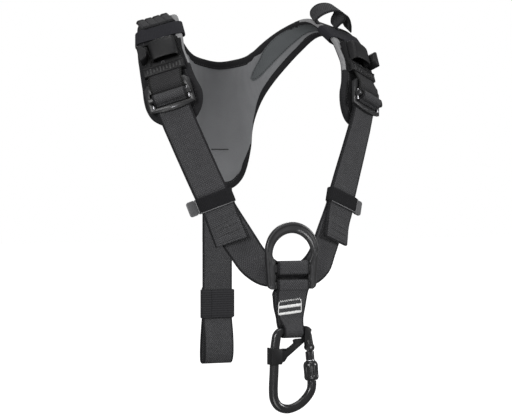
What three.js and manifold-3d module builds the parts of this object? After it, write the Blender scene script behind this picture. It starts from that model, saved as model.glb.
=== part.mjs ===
// Climbing chest harness: a padded Y-shaped yoke, two front straps with buckles, a chest ring, a webbing loop
// that holds a screw-gate carabiner, and a rear strap.
// Millimetres, +Z up. The wearer faces -Y and the wearer's left is +X.
// The origin is the inner face of the yoke at the nape, on the centre plane.
import * as THREE from "three";
import { mergeVertices } from "three/addons/utils/BufferGeometryUtils.js";
import Module from "manifold-3d";

const wasm = await Module();
wasm.setup();

// Driving dimensions
const GAP = 0.3; // clearance between pieces that touch
const WEB = 45; // load webbing, width
const WEB_T = 2.2; // load webbing, thickness
const STRAP_MEET = 64; // ring top down to where the two front straps meet behind its middle bar
const BAND_T = 1.8; // elastic keeper bands, thickness

const YOKE_HALF = 170; // centre plane to the outer edge of an arm
const YOKE_REACH = 169; // nape to the foremost edge of a front tongue
const ARM_RISE = 51; // nape to the top of an arm's inner face
const TAIL_DROP = 178.5; // nape to the lower end of the back panel
const TONGUE_DROP = 96.5; // nape to the lower end of a front tongue
const PAD_T = 5; // foam pad
const BIND_T = 1.2; // edge binding, thickness
const BIND_W = 11; // edge binding, width on each face

const CHEST = 230; // nape to the middle plane of the chest ring
const RING_TOP = 219; // nape down to the top of the chest ring
const RING_H = 87.7; // ring height
const RING_W = 77; // ring width across the arch
const RING_FOOT = 69; // ring width across its legs
const RING_T = 7; // ring thickness
const RING_CORNER = 6; // ring, lower corners
const RING_RIM = 14.6; // ring section over the eye
const RING_SIDE = 9.9; // ring section beside the eye
const SLOT_W = 46.4; // width of the slot for the webbing
const BAR_H = 11.5; // height of the middle bar
const SLOT_H = 11.5; // height of the slot
const FOOT_BAR_H = 10; // height of the lower bar

const BUCKLE_W = 62; // buckle frame, width
const BUCKLE_H = 40; // buckle frame, height
const BUCKLE_T = 4; // buckle frame, thickness
const BUCKLE_SIDE = 5.5; // buckle frame, side rail
const BUCKLE_BAR = 7; // buckle frame, lower bar
const BUCKLE_HEAD = 12; // buckle frame, upper bar
const BUCKLE_BOW = 4; // how far the lower bar bows down
const SLIDE_BAR = 7; // sliding bar, height and depth

const KEEPER_H = 19; // keeper band on a front strap, height
const TAB_W = 12; // keeper tab, reach past the band
const TAB_H = 20; // keeper tab, height
const TAB_T = 4; // keeper tab, thickness
const TAIL_T = 4.6; // folded end of the strap tail, thickness

const POCKET_W = 56; // connector pocket, width
const POCKET_H = 48; // connector pocket, height
const POCKET_D = 17; // connector pocket, depth over the pad
const POCKET_WALL = 2; // connector pocket, wall of its hood

const LOOP_WEB = 20; // shoulder loop webbing, width
const LOOP_T = 2; // shoulder loop webbing, thickness
const ARCH_H = 27; // standing shoulder loop, height

const VENTRAL_END = 370.5; // nape down to the lower end of the webbing loop
const VENTRAL_NECK = 29; // width of the webbing loop round the carabiner
const VENTRAL_EYE = 27; // height of its open eye below the stitching

const ROD = 12; // carabiner rod, diameter
const KRAB_DROP = 469; // nape down to the lower end of the carabiner
const KRAB_W = 68; // carabiner, width over its widest part
const BOW_R = 10.5; // centre-line radius of the two upper bends
const BOW_FLAT = 25; // straight length of the top bow
const GATE_D = 11.4; // gate, diameter
const GATE_L = 43.5; // gate, pin to free end
const PIN_D = 3; // gate pin, diameter
const TONGUE_T = 4; // hinge tongue of the gate, thickness
const SLEEVE_D = 19.4; // screw sleeve, diameter
const SLEEVE_L = 25.2; // screw sleeve, length
const BAR_T = 7; // positioning bar, thickness
const CLAMP_T = 16; // positioning bar, thickness where it clasps the rod
const CLAMP_H = 21; // positioning bar, length of rod that it clasps
const PAWL_L = 15; // positioning bar, reach of the pawl under its hook

const REAR_END = 422.5; // nape down to the lower end of the rear strap
const REAR_SEWN = 38; // length of the rear strap sewn on the back panel
const REAR_LOOP = 64; // length of the open loop at its lower end
const REAR_OPEN = 13; // how far that loop stands open
const REAR_BAND_H = 40; // hook-and-loop band on the rear strap, height

const PANEL_T = PAD_T + 2 * (GAP + BIND_T); // yoke with its binding

// Materials
const finish = (color, roughness, metalness = 0) =>
  new THREE.MeshStandardMaterial({ color, roughness, metalness });
const FOAM = finish(0x55565a, 0.9);
const BINDING = finish(0x1e1e20, 0.85);
const WEBBING = finish(0x434345, 0.8);
const ELASTIC = finish(0x28282a, 0.85);
const PLASTIC = finish(0x2b2b2d, 0.55);
const TAB_PLASTIC = finish(0x5c5c5e, 0.5);
const FORGED = finish(0x2a2a2c, 0.4, 0.6);
const SATIN_BLACK = finish(0x2e2e30, 0.35, 0.7);
const STEEL = finish(0xa8a8ac, 0.3, 0.9);

const V = (x, y, z) => new THREE.Vector3(x, y, z);
const harness = new THREE.Group();
const piece = (name, geometry, material, parent = harness) => {
  const mesh = new THREE.Mesh(geometry, material);
  mesh.name = name;
  parent.add(mesh);
  return mesh;
};

// Mesh and boolean helpers

// A closed mesh from positions and triangles, turned so that its faces point out.
function closedMesh(points, faces) {
  let six = 0;
  for (let i = 0; i < faces.length; i += 3) {
    const [a, b, c] = [points[faces[i]], points[faces[i + 1]], points[faces[i + 2]]];
    six += a.dot(b.clone().cross(c));
  }
  if (six < 0) faces.reverse();
  const geometry = new THREE.BufferGeometry().setFromPoints(points);
  geometry.setIndex(faces);
  return geometry;
}

// A skin over rings of points, each with the same even count, closed by its end caps or on itself.
// A mirrored one splits its quads the other way in its second half, so that both halves match.
function loft(rings, onItself = false, mirrored = false) {
  const n = rings[0].length;
  const points = rings.flat();
  const faces = [];
  const quad = (a, b, c, d) => faces.push(a, b, c, a, c, d);
  const spans = onItself ? rings.length : rings.length - 1;
  for (let i = 0; i < spans; i++) {
    const k = ((i + 1) % rings.length) * n;
    for (let j = 0; j < n; j++) {
      const m = (j + 1) % n;
      if (mirrored && i >= spans / 2) quad(i * n + m, k + m, k + j, i * n + j);
      else quad(i * n + j, i * n + m, k + m, k + j);
    }
  }
  if (!onItself) {
    const e = (rings.length - 1) * n;
    for (let j = 0; j < n / 2 - 1; j++) {
      quad(n - 1 - j, n - 2 - j, j + 1, j);
      quad(e + j, e + j + 1, e + n - 2 - j, e + n - 1 - j);
    }
  }
  return closedMesh(points, faces);
}

function solid(geometry) {
  const bare = geometry.index ? geometry.toNonIndexed() : geometry.clone();
  bare.deleteAttribute("normal");
  bare.deleteAttribute("uv");
  const merged = mergeVertices(bare, 1e-3);
  return new wasm.Manifold(
    new wasm.Mesh({
      numProp: 3,
      vertProperties: merged.attributes.position.array,
      triVerts: new Uint32Array(merged.index.array),
    }),
  );
}

function geometryOf(manifold) {
  const mesh = manifold.getMesh();
  return new THREE.BufferGeometry()
    .setAttribute("position", new THREE.BufferAttribute(mesh.vertProperties, 3))
    .setIndex(new THREE.BufferAttribute(mesh.triVerts, 1));
}

const join = (...parts) => parts.map(solid).reduce((a, b) => a.add(b));
const cut = (body, ...tools) => tools.map(solid).reduce((a, b) => a.subtract(b), body);

// A smooth curve through points, sampled so many times between each two.
function smooth(points, steps) {
  const curve = new THREE.CatmullRomCurve3(points);
  const count = (points.length - 1) * steps;
  return Array.from({ length: count + 1 }, (_, i) => curve.getPoint(i / count));
}

// A bar of round section along a path in the XZ plane.
function roundBar(path, radius, sides = 12) {
  const rings = path.map((p, i) => {
    const before = path[Math.max(i - 1, 0)];
    const after = path[Math.min(i + 1, path.length - 1)];
    const along = after.clone().sub(before).normalize();
    const side = along.clone().cross(V(0, 1, 0)).normalize();
    return Array.from({ length: sides }, (_, j) => {
      const turn = (2 * Math.PI * (j + 0.5)) / sides;
      return p
        .clone()
        .addScaledVector(side, radius * Math.cos(turn))
        .addScaledVector(V(0, 1, 0), radius * Math.sin(turn));
    });
  });
  return loft(rings);
}

// A cylinder between two points.
function rod(from, to, radius, sides = 16) {
  const along = to.clone().sub(from);
  const geometry = new THREE.CylinderGeometry(radius, radius, along.length(), sides);
  const turn = new THREE.Quaternion().setFromUnitVectors(V(0, 1, 0), along.clone().normalize());
  geometry.applyQuaternion(turn);
  const middle = from.clone().add(to).multiplyScalar(0.5);
  return geometry.translate(middle.x, middle.y, middle.z);
}

// A webbing band: rows of two edge points on its middle surface, with the thickness at each row.
function webbing(rows) {
  const rings = rows.map((row, i) => {
    const before = rows[Math.max(i - 1, 0)];
    const after = rows[Math.min(i + 1, rows.length - 1)];
    const along = after.a.clone().add(after.b).sub(before.a).sub(before.b);
    const normal = row.b.clone().sub(row.a).cross(along).normalize();
    const half = row.t / 2;
    return [
      row.a.clone().addScaledVector(normal, -half),
      row.b.clone().addScaledVector(normal, -half),
      row.b.clone().addScaledVector(normal, half),
      row.a.clone().addScaledVector(normal, half),
    ];
  });
  return loft(rings);
}

// The same band smoothed between its rows.
function smoothWebbing(rows, steps) {
  const a = smooth(rows.map((r) => r.a), steps);
  const b = smooth(rows.map((r) => r.b), steps);
  return webbing(a.map((p, i) => {
    const k = Math.floor(i / steps);
    const next = rows[Math.min(k + 1, rows.length - 1)];
    return { a: p, b: b[i], t: THREE.MathUtils.lerp(rows[k].t, next.t, (i % steps) / steps) };
  }));
}

// A frame: an origin with directions w across, u up and n out of a surface.
class Frame {
  constructor(origin, across, up) {
    this.o = origin;
    this.w = across.clone().normalize();
    this.u = up.clone().addScaledVector(this.w, -up.dot(this.w)).normalize();
    this.n = this.w.clone().cross(this.u);
  }
  at(w, u, n) {
    return this.o
      .clone()
      .addScaledVector(this.w, w)
      .addScaledVector(this.u, u)
      .addScaledVector(this.n, n);
  }
  place(geometry) {
    const m = new THREE.Matrix4().makeBasis(this.w, this.u, this.n).setPosition(this.o);
    return geometry.applyMatrix4(m);
  }
  box(w0, w1, u0, u1, n0, n1) {
    const g = new THREE.BoxGeometry(w1 - w0, u1 - u0, n1 - n0);
    return this.place(g.translate((w0 + w1) / 2, (u0 + u1) / 2, (n0 + n1) / 2));
  }
  plate(outline, depth, from) {
    const g = new THREE.ExtrudeGeometry(outline, { depth, bevelEnabled: false, curveSegments: 6 });
    return this.place(g.translate(0, 0, from));
  }
}

// A rectangle with rounded corners, as a path or a shape.
function rounded(Type, x0, x1, y0, y1, r) {
  const s = new Type();
  s.moveTo(x0 + r, y0);
  s.lineTo(x1 - r, y0);
  s.absarc(x1 - r, y0 + r, r, -Math.PI / 2, 0);
  s.lineTo(x1, y1 - r);
  s.absarc(x1 - r, y1 - r, r, 0, Math.PI / 2);
  s.lineTo(x0 + r, y1);
  s.absarc(x0 + r, y1 - r, r, Math.PI / 2, Math.PI);
  s.lineTo(x0, y0 + r);
  s.absarc(x0 + r, y0 + r, r, Math.PI, 1.5 * Math.PI);
  return s;
}

// Yoke

// Half of the yoke is a strip from the centre plane to a tongue's tip. Each row crosses it from the inner edge,
// which is the neck's, to the outer edge. out is a share of YOKE_HALF, fwd of YOKE_REACH,
// and up of ARM_RISE, or down of TAIL_DROP or TONGUE_DROP.
const BACK_ROWS = [
  { out: 0, fwd: 0, up: 0, edgeOut: 0, edgeFwd: 0, edgeDown: 1 },
  { out: 0.071, fwd: 0, up: 0.022, edgeOut: 0.12, edgeFwd: 0, edgeDown: 0.989 },
  { out: 0.129, fwd: 0.004, up: 0.06, edgeOut: 0.2, edgeFwd: 0, edgeDown: 0.927 },
  { out: 0.182, fwd: 0.012, up: 0.1, edgeOut: 0.247, edgeFwd: 0, edgeDown: 0.84 },
  { out: 0.224, fwd: 0.018, up: 0.148, edgeOut: 0.288, edgeFwd: 0, edgeDown: 0.678 },
  { out: 0.256, fwd: 0.027, up: 0.21, edgeOut: 0.299, edgeFwd: 0.002, edgeDown: 0.547 },
  { out: 0.282, fwd: 0.036, up: 0.278, edgeOut: 0.328, edgeFwd: 0.008, edgeDown: 0.421 },
  { out: 0.312, fwd: 0.05, up: 0.38, edgeOut: 0.376, edgeFwd: 0.03, edgeDown: 0.295 },
  { out: 0.342, fwd: 0.065, up: 0.49, edgeOut: 0.448, edgeFwd: 0.071, edgeDown: 0.17 },
];
const ARM_ROWS = [
  { out: 0.402, fwd: 0.112, up: 0.69, edgeOut: 0.536, edgeFwd: 0.136, edgeUp: -0.157 },
  { out: 0.464, fwd: 0.183, up: 0.87, edgeOut: 0.626, edgeFwd: 0.225, edgeUp: 0.26 },
  { out: 0.524, fwd: 0.296, up: 0.99, edgeOut: 0.741, edgeFwd: 0.337, edgeUp: 0.65 },
  { out: 0.571, fwd: 0.466, up: 1, edgeOut: 0.915, edgeFwd: 0.485, edgeUp: 0.66 },
  { out: 0.618, fwd: 0.628, up: 0.72, edgeOut: 0.96, edgeFwd: 0.57, edgeUp: 0.4 },
  { out: 0.644, fwd: 0.742, up: 0.45, edgeOut: 0.983, edgeFwd: 0.635, edgeUp: 0.11 },
  { out: 0.658, fwd: 0.817, up: 0.1, edgeOut: 0.996, edgeFwd: 0.685, edgeUp: -0.19 },
];
const TONGUE_ROWS = [
  { out: 0.652, fwd: 0.882, down: 0.083, edgeOut: 1, edgeFwd: 0.719, edgeDown: 0.207 },
  { out: 0.624, fwd: 0.947, down: 0.321, edgeOut: 0.997, edgeFwd: 0.746, edgeDown: 0.363 },
  { out: 0.589, fwd: 0.988, down: 0.477, edgeOut: 0.992, edgeFwd: 0.766, edgeDown: 0.497 },
  { out: 0.584, fwd: 1, down: 0.611, edgeOut: 0.988, edgeFwd: 0.781, edgeDown: 0.632 },
  { out: 0.603, fwd: 0.994, down: 0.756, edgeOut: 0.971, edgeFwd: 0.799, edgeDown: 0.777 },
  { out: 0.647, fwd: 0.976, down: 0.886, edgeOut: 0.932, edgeFwd: 0.828, edgeDown: 0.902 },
  { out: 0.724, fwd: 0.944, down: 0.974, edgeOut: 0.868, edgeFwd: 0.87, edgeDown: 0.977 },
  { out: 0.768, fwd: 0.926, down: 0.998, edgeOut: 0.826, edgeFwd: 0.896, edgeDown: 0.999 },
];
const onYoke = (out, fwd, z) => V(out * YOKE_HALF, -fwd * YOKE_REACH, z);
const halfRows = [
  ...BACK_ROWS.map((r) => ({
    a: onYoke(r.out, r.fwd, r.up * ARM_RISE),
    b: onYoke(r.edgeOut, r.edgeFwd, -r.edgeDown * TAIL_DROP),
  })),
  ...ARM_ROWS.map((r) => ({
    a: onYoke(r.out, r.fwd, r.up * ARM_RISE),
    b: onYoke(r.edgeOut, r.edgeFwd, r.edgeUp * ARM_RISE),
  })),
  ...TONGUE_ROWS.map((r) => ({
    a: onYoke(r.out, r.fwd, -r.down * TONGUE_DROP),
    b: onYoke(r.edgeOut, r.edgeFwd, -r.edgeDown * TONGUE_DROP),
  })),
];
const mirrorX = (p) => V(-p.x, p.y, p.z);
const yokeRows = [
  ...halfRows.slice(1).reverse().map((r) => ({ a: mirrorX(r.a), b: mirrorX(r.b) })),
  ...halfRows,
];
const YOKE_STEPS = 1;
const CENTRE_ROW = halfRows.length - 1;
const neckEdge = smooth(yokeRows.map((r) => r.a), YOKE_STEPS);
const outerEdge = smooth(yokeRows.map((r) => r.b), YOKE_STEPS);
const LAST = neckEdge.length - 1;

// The outward direction of the yoke's surface at each sampled row.
const yokeNormal = neckEdge.map((a, i) => {
  const [p, q] = [Math.max(i - 1, 0), Math.min(i + 1, LAST)];
  const along = neckEdge[q].clone().add(outerEdge[q]).sub(neckEdge[p]).sub(outerEdge[p]);
  return along.cross(outerEdge[i].clone().sub(a)).normalize();
});

// The direction into the yoke's surface, square to its rim.
const rim = [
  ...neckEdge.map((p, i) => ({ p, n: yokeNormal[i] })),
  ...outerEdge.map((p, i) => ({ p, n: yokeNormal[i] })).reverse(),
];
const rimInward = rim.map(({ n }, i) => {
  const before = rim[(i + rim.length - 1) % rim.length].p;
  const after = rim[(i + 1) % rim.length].p;
  return n.clone().cross(after.clone().sub(before)).normalize();
});

// The yoke's sheet, inset from its rim, from one height over its inner face to another.
function yokeSheet(inset, low, high) {
  const rings = neckEdge.map((a, i) => {
    const b = outerEdge[i];
    const n = yokeNormal[i];
    const inner = a.clone().addScaledVector(rimInward[i], inset);
    const outer = b.clone().addScaledVector(rimInward[rim.length - 1 - i], inset);
    return [
      inner.clone().addScaledVector(n, low),
      outer.clone().addScaledVector(n, low),
      outer.clone().addScaledVector(n, high),
      inner.clone().addScaledVector(n, high),
    ];
  });
  return loft(rings, false, true);
}

piece("yoke_pad", yokeSheet(BIND_T + 2 * GAP, BIND_T + GAP, BIND_T + GAP + PAD_T), FOAM);
// The binding is a channel round the pad's rim, open over the middle of both faces.
const channelRoom = yokeSheet(BIND_T + GAP, BIND_T, PANEL_T - BIND_T);
const openFaces = yokeSheet(BIND_W, -2 * PANEL_T, 3 * PANEL_T);
const bindingBody = cut(solid(yokeSheet(0, 0, PANEL_T)), channelRoom, openFaces);
piece("yoke_binding", geometryOf(bindingBody), BINDING);

// Places on an arm: row is a row number of the left half, share runs from its inner to its outer edge.
function onArm(row, share, lift) {
  const k = (CENTRE_ROW + row) * YOKE_STEPS;
  const i = Math.min(Math.floor(k), LAST - 1);
  const f = k - i;
  const a = neckEdge[i].clone().lerp(neckEdge[i + 1], f);
  const b = outerEdge[i].clone().lerp(outerEdge[i + 1], f);
  const n = yokeNormal[i].clone().lerp(yokeNormal[i + 1], f).normalize();
  return a.lerp(b, share).addScaledVector(n, lift);
}

// Both sides of the harness: what is made for the wearer's left is mirrored for the right.
const SIDES = [
  { side: "left", mirror: 1 },
  { side: "right", mirror: -1 },
];
function pair(name, geometry, material) {
  for (const { side, mirror } of SIDES) {
    const mesh = piece(name + "_" + side, geometry, material);
    mesh.scale.x = mirror;
  }
}

// Shoulder bands: elastic bands round the arms, in front of the shoulder's top
const BAND_ROWS = [12.8, 13, 13.5, 13.85];
const bandRing = (row, grow) => [
  onArm(row, 0, -grow),
  onArm(row, 1, -grow),
  onArm(row, 1, PANEL_T / 2),
  onArm(row, 1, PANEL_T + grow),
  onArm(row, 0, PANEL_T + grow),
  onArm(row, 0, PANEL_T / 2),
];
const bandLoop = (row, grow) => {
  const ring = bandRing(row, grow);
  const out = ring[1].clone().sub(ring[0]).normalize();
  const shift = [-0.6, 0.6, 1, 0.6, -0.6, -1];
  return ring.map((p, i) => p.addScaledVector(out, shift[i] * grow));
};
const bandOuter = BAND_ROWS.map((row) => bandLoop(row, GAP + BAND_T));
const bandInner = BAND_ROWS.map((row) => bandLoop(row, GAP)).reverse();
const armEnvelope = yokeSheet(-GAP, -GAP, PANEL_T + GAP);
const bandBody = cut(solid(loft([...bandOuter, ...bandInner], true)), armEnvelope);
pair("shoulder_band", geometryOf(bandBody), ELASTIC);

// Buckle frame

// The frame's plane runs from its lower bar, lifted by the strap's pull, up towards the pad.
const BUCKLE_LOW = { row: 20, share: 0.477, lift: 18.4 };
const LAYER = WEB_T + GAP;
const BUCKLE_HIGH = { row: 17.35, share: 0.53, lift: PANEL_T + BUCKLE_T / 2 + 2 * LAYER };
const BUCKLE_CANT = 0.285; // slope of the buckle's bars down outwards
const buckleFoot = onArm(BUCKLE_LOW.row, BUCKLE_LOW.share, BUCKLE_LOW.lift);
const buckleHead = onArm(BUCKLE_HIGH.row, BUCKLE_HIGH.share, BUCKLE_HIGH.lift);
const armAcross = onArm(BUCKLE_LOW.row, 1, 0).sub(onArm(BUCKLE_LOW.row, 0, 0)).normalize();
const buckle = new Frame(
  buckleFoot,
  armAcross.addScaledVector(V(0, 0, 1), -BUCKLE_CANT),
  buckleHead.clone().sub(buckleFoot),
);

const BAR_TOP = BUCKLE_BOW + BUCKLE_BAR / 2;
const buckleOutline = new THREE.Shape();
buckleOutline.moveTo(-BUCKLE_W / 2, BUCKLE_BOW);
buckleOutline.quadraticCurveTo(0, -BUCKLE_BOW, BUCKLE_W / 2, BUCKLE_BOW);
buckleOutline.lineTo(BUCKLE_W / 2, BUCKLE_H - BUCKLE_SIDE);
buckleOutline.lineTo(BUCKLE_W / 2 - BUCKLE_SIDE, BUCKLE_H);
buckleOutline.lineTo(-BUCKLE_W / 2 + BUCKLE_SIDE, BUCKLE_H);
buckleOutline.lineTo(-BUCKLE_W / 2, BUCKLE_H - BUCKLE_SIDE);
const WINDOW_W = BUCKLE_W - 2 * BUCKLE_SIDE;
const WINDOW_TOP = BUCKLE_H - BUCKLE_HEAD;
buckleOutline.holes.push(
  rounded(THREE.Path, -WINDOW_W / 2, WINDOW_W / 2, BAR_TOP, WINDOW_TOP, 2),
);
pair("buckle_frame", buckle.plate(buckleOutline, BUCKLE_T, -BUCKLE_T / 2), FORGED);

// Sliding bar: it lies on the front of the buckle's side rails, with the strap turned round it
const SLIDE_UP = BAR_TOP + 10.5;
const SLIDE_OUT = BUCKLE_T / 2 + GAP + SLIDE_BAR / 2;
const slideOutline = rounded(
  THREE.Shape,
  -SLIDE_BAR / 2,
  SLIDE_BAR / 2,
  -SLIDE_BAR / 2,
  SLIDE_BAR / 2,
  SLIDE_BAR / 3,
);
const slideBar = new THREE.ExtrudeGeometry(slideOutline, {
  depth: BUCKLE_W - BUCKLE_SIDE,
  bevelEnabled: false,
  curveSegments: 3,
});
slideBar.translate(0, 0, -(BUCKLE_W - BUCKLE_SIDE) / 2).rotateY(Math.PI / 2);
slideBar.translate(0, SLIDE_UP, SLIDE_OUT);
pair("slide_bar", buckle.place(slideBar), FORGED);

// A turn of webbing about a point of the buckle's side view, as rows from one angle to another.
// Angles are counted from the frame's front towards its upper end.
function turn(up, out, reachUp, reachOut, from, to, count) {
  return Array.from({ length: count + 1 }, (_, i) => {
    const angle = from + ((to - from) * i) / count;
    return buckleRow(up + reachUp * Math.sin(angle), out + reachOut * Math.cos(angle));
  });
}
const buckleRow = (u, n) => ({
  a: buckle.at(-WEB / 2, u, n),
  b: buckle.at(WEB / 2, u, n),
  t: WEB_T,
});

// Anchor webbing: sewn on the pad under the pocket, over the upper bar of the buckle and back under it
const ANCHOR_ROW = 16.3;
const anchorTurn = turn(
  BUCKLE_H - BUCKLE_HEAD / 2,
  0,
  BUCKLE_HEAD / 2 + GAP + 1.05 * WEB_T,
  BUCKLE_T / 2 + GAP + 1.15 * WEB_T,
  0.35 * Math.PI,
  -1.15 * Math.PI,
  10,
);
const acrossAnchor = buckle.w.clone().multiplyScalar(WEB / 2);
const padRow = (row, lift) => {
  const middle = onArm(row, 0.5, lift);
  return { a: middle.clone().sub(acrossAnchor), b: middle.clone().add(acrossAnchor), t: WEB_T };
};
const anchorRows = [padRow(ANCHOR_ROW, PANEL_T + GAP + LAYER), ...anchorTurn];
pair("anchor_webbing", webbing(anchorRows), WEBBING);

// Front strap: from the ring up behind the buckle's lower bar, round the sliding bar and down again as the
// strap's tail, which lies on the strap and ends folded, past the keeper.
const strapHigh = buckle.at(0, 0, -BUCKLE_T / 2 - 1.6 * LAYER);
const strapLow = V(0, -(CHEST - RING_T / 2 - 2 * GAP - 1.5 * WEB_T), -(RING_TOP + STRAP_MEET));
const strapSpan = strapHigh.clone().sub(strapLow);
const onStrap = (s) => V(s[0], s[1], s[2]).multiply(strapSpan).add(strapLow);

// Each row gives the two edges as shares of the span from the chest ring to the buckle,
// each share along its own axis: out, back and up.
const STRAP_ROWS = [
  { inner: [0.545, 0.526, 0.517], outer: [0.84, 0.716, 0.442] },
  { inner: [0.495, 0.438, 0.437], outer: [0.782, 0.628, 0.352] },
  { inner: [0.363, 0.265, 0.28], outer: [0.678, 0.52, 0.229] },
  { inner: [0.245, 0.109, 0.143], outer: [0.558, 0.333, 0.09] },
  { inner: [0.203, 0.07, 0.106], outer: [0.455, 0.171, -0.016] },
  { inner: [0.152, 0.035, 0.075], outer: [0.291, 0.061, -0.088] },
  { inner: [0.073, 0, 0.058], outer: [0.102, 0, -0.101] },
  { inner: [0.003, 0, 0.053], outer: [0.003, 0, -0.101] },
];
const TAIL_ROWS = [
  { inner: [0.468, 0.325, 0.36], outer: [0.742, 0.53, 0.265], t: TAIL_T },
  { inner: [0.404, 0.13, 0.216], outer: [0.694, 0.395, 0.146], t: TAIL_T },
];
const strapRows = STRAP_ROWS.map((r) => ({ a: onStrap(r.inner), b: onStrap(r.outer), t: WEB_T }));
const slideTurn = SLIDE_BAR / 2 + GAP + 0.8 + WEB_T / 2;
const strapBelow = [
  buckleRow(SLIDE_UP - 3, -BUCKLE_T / 2 - 0.6 * LAYER),
  buckleRow(BAR_TOP + 2, -BUCKLE_T / 2 - 1.6 * LAYER),
  buckleRow(0, -BUCKLE_T / 2 - 1.6 * LAYER),
];
const strapRoll = turn(SLIDE_UP, SLIDE_OUT, slideTurn, slideTurn, -0.55 * Math.PI, 0.9 * Math.PI, 9);
const tailBelow = [
  buckleRow(0, -BUCKLE_T / 2 - 0.6 * LAYER),
  buckleRow(BAR_TOP, -BUCKLE_T / 2 - 0.6 * LAYER),
  buckleRow(BAR_TOP + 2.4, -BUCKLE_T / 2 + 0.4),
  buckleRow(BAR_TOP + 2.8, BUCKLE_T / 2 - 0.2),
];

// The tail's rows over the keeper follow the strap's first two rows, one layer further out.
const strapOut = strapRows[0].b.clone().sub(strapRows[0].a).cross(strapSpan).normalize();
const overStrap = (row, share, t) => ({
  a: row.a.clone().addScaledVector(strapOut, share),
  b: row.b.clone().addScaledVector(strapOut, share),
  t,
});
const tailUp = [
  overStrap(strapRows[1], (WEB_T + TAIL_T) / 2 + GAP, TAIL_T),
  overStrap(strapRows[0], LAYER, WEB_T),
];
const tailEnd = TAIL_ROWS.map((r) => ({ a: onStrap(r.inner), b: onStrap(r.outer), t: r.t })).reverse();
const strapPath = [...tailEnd, ...tailUp, ...tailBelow, ...strapRoll, ...strapBelow, ...strapRows];
pair("front_strap", webbing(strapPath), WEBBING);

// Keeper bands: elastic bands that hold the tail on the strap, each with a plastic pull tab
const keeperMiddle = strapRows[0].a.clone().add(strapRows[0].b).add(strapRows[1].a).add(strapRows[1].b);
const keeper = new Frame(
  keeperMiddle.multiplyScalar(0.25),
  strapRows[0].b.clone().sub(strapRows[0].a),
  strapRows[0].a.clone().sub(strapRows[1].a),
);
const KEEPER_BACK = -WEB_T / 2 - 3 * GAP;
const KEEPER_FRONT = WEB_T / 2 + GAP + TAIL_T + 3 * GAP;
const hollowBox = (frame, halfW, halfU, back, front, wall) =>
  geometryOf(
    cut(
      solid(frame.box(-halfW - wall, halfW + wall, -halfU, halfU, back - wall, front + wall)),
      frame.box(-halfW, halfW, -2 * halfU, 2 * halfU, back, front),
    ),
  );
const keeperHalf = WEB / 2 + 3 * GAP;
pair("keeper", hollowBox(keeper, keeperHalf, KEEPER_H / 2, KEEPER_BACK, KEEPER_FRONT, BAND_T), ELASTIC);
const tabFrom = keeperHalf + BAND_T + GAP;
const tabMiddle = (KEEPER_BACK + KEEPER_FRONT) / 2;
const tabOutline = rounded(THREE.Shape, tabFrom, tabFrom + TAB_W, -TAB_H / 2, TAB_H / 2, 3);
pair("keeper_tab", keeper.plate(tabOutline, TAB_T, tabMiddle - TAB_T / 2), TAB_PLASTIC);

// Connector pockets: moulded housings over the anchor webbing, with a hood over a mouth that opens down,
// a lip below the mouth and an ear at the outer side
const POCKET_LIP = { row: 16.75, share: 0.52, lift: PANEL_T };
const POCKET_TOP = { row: 14.2, share: 0.55, lift: PANEL_T };
const pocketFoot = onArm(POCKET_LIP.row, POCKET_LIP.share, POCKET_LIP.lift);
const pocketHead = onArm(POCKET_TOP.row, POCKET_TOP.share, POCKET_TOP.lift);
const pocket = new Frame(pocketFoot, buckle.w, pocketHead.clone().sub(pocketFoot));
const LIP_H = 13;
const MOUTH_H = 6;
const HOOD_W = 36;
const half = POCKET_W / 2;
const hoodLow = LIP_H + MOUTH_H;
const floor = LAYER + 2.5; // the floor covers the anchor webbing
const base = pocket.box(-half, half, 0, POCKET_H, -POCKET_D, floor);
const lip = pocket.box(-half, half, 0, LIP_H, 0, 0.5 * POCKET_D);
const hood = pocket.box(-half + 4, -half + 4 + HOOD_W, hoodLow, POCKET_H, 0, POCKET_D);
const mouth = pocket.box(
  -half + 4 + POCKET_WALL,
  -half + 4 + HOOD_W - POCKET_WALL,
  0.9 * LIP_H,
  POCKET_H - 2 * POCKET_WALL,
  floor,
  POCKET_D - POCKET_WALL,
);
const earOutline = rounded(THREE.Shape, half - 12, half, LIP_H + 1, POCKET_H - 4, 4);
const ear = pocket.plate(earOutline, 1.27 * POCKET_D, 0);
const anchorRoom = webbing(
  anchorRows.map((r) => ({
    a: r.a.clone().addScaledVector(buckle.w, -2 * GAP),
    b: r.b.clone().addScaledVector(buckle.w, 2 * GAP),
    t: WEB_T + 3 * GAP,
  })),
);
const belowYoke = yokeSheet(-3 * PANEL_T, -3 * PANEL_T, PANEL_T + GAP);
const housing = cut(join(base, lip, hood, ear), mouth, anchorRoom, belowYoke, armEnvelope);
pair("connector_pocket", geometryOf(housing), PLASTIC);

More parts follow.
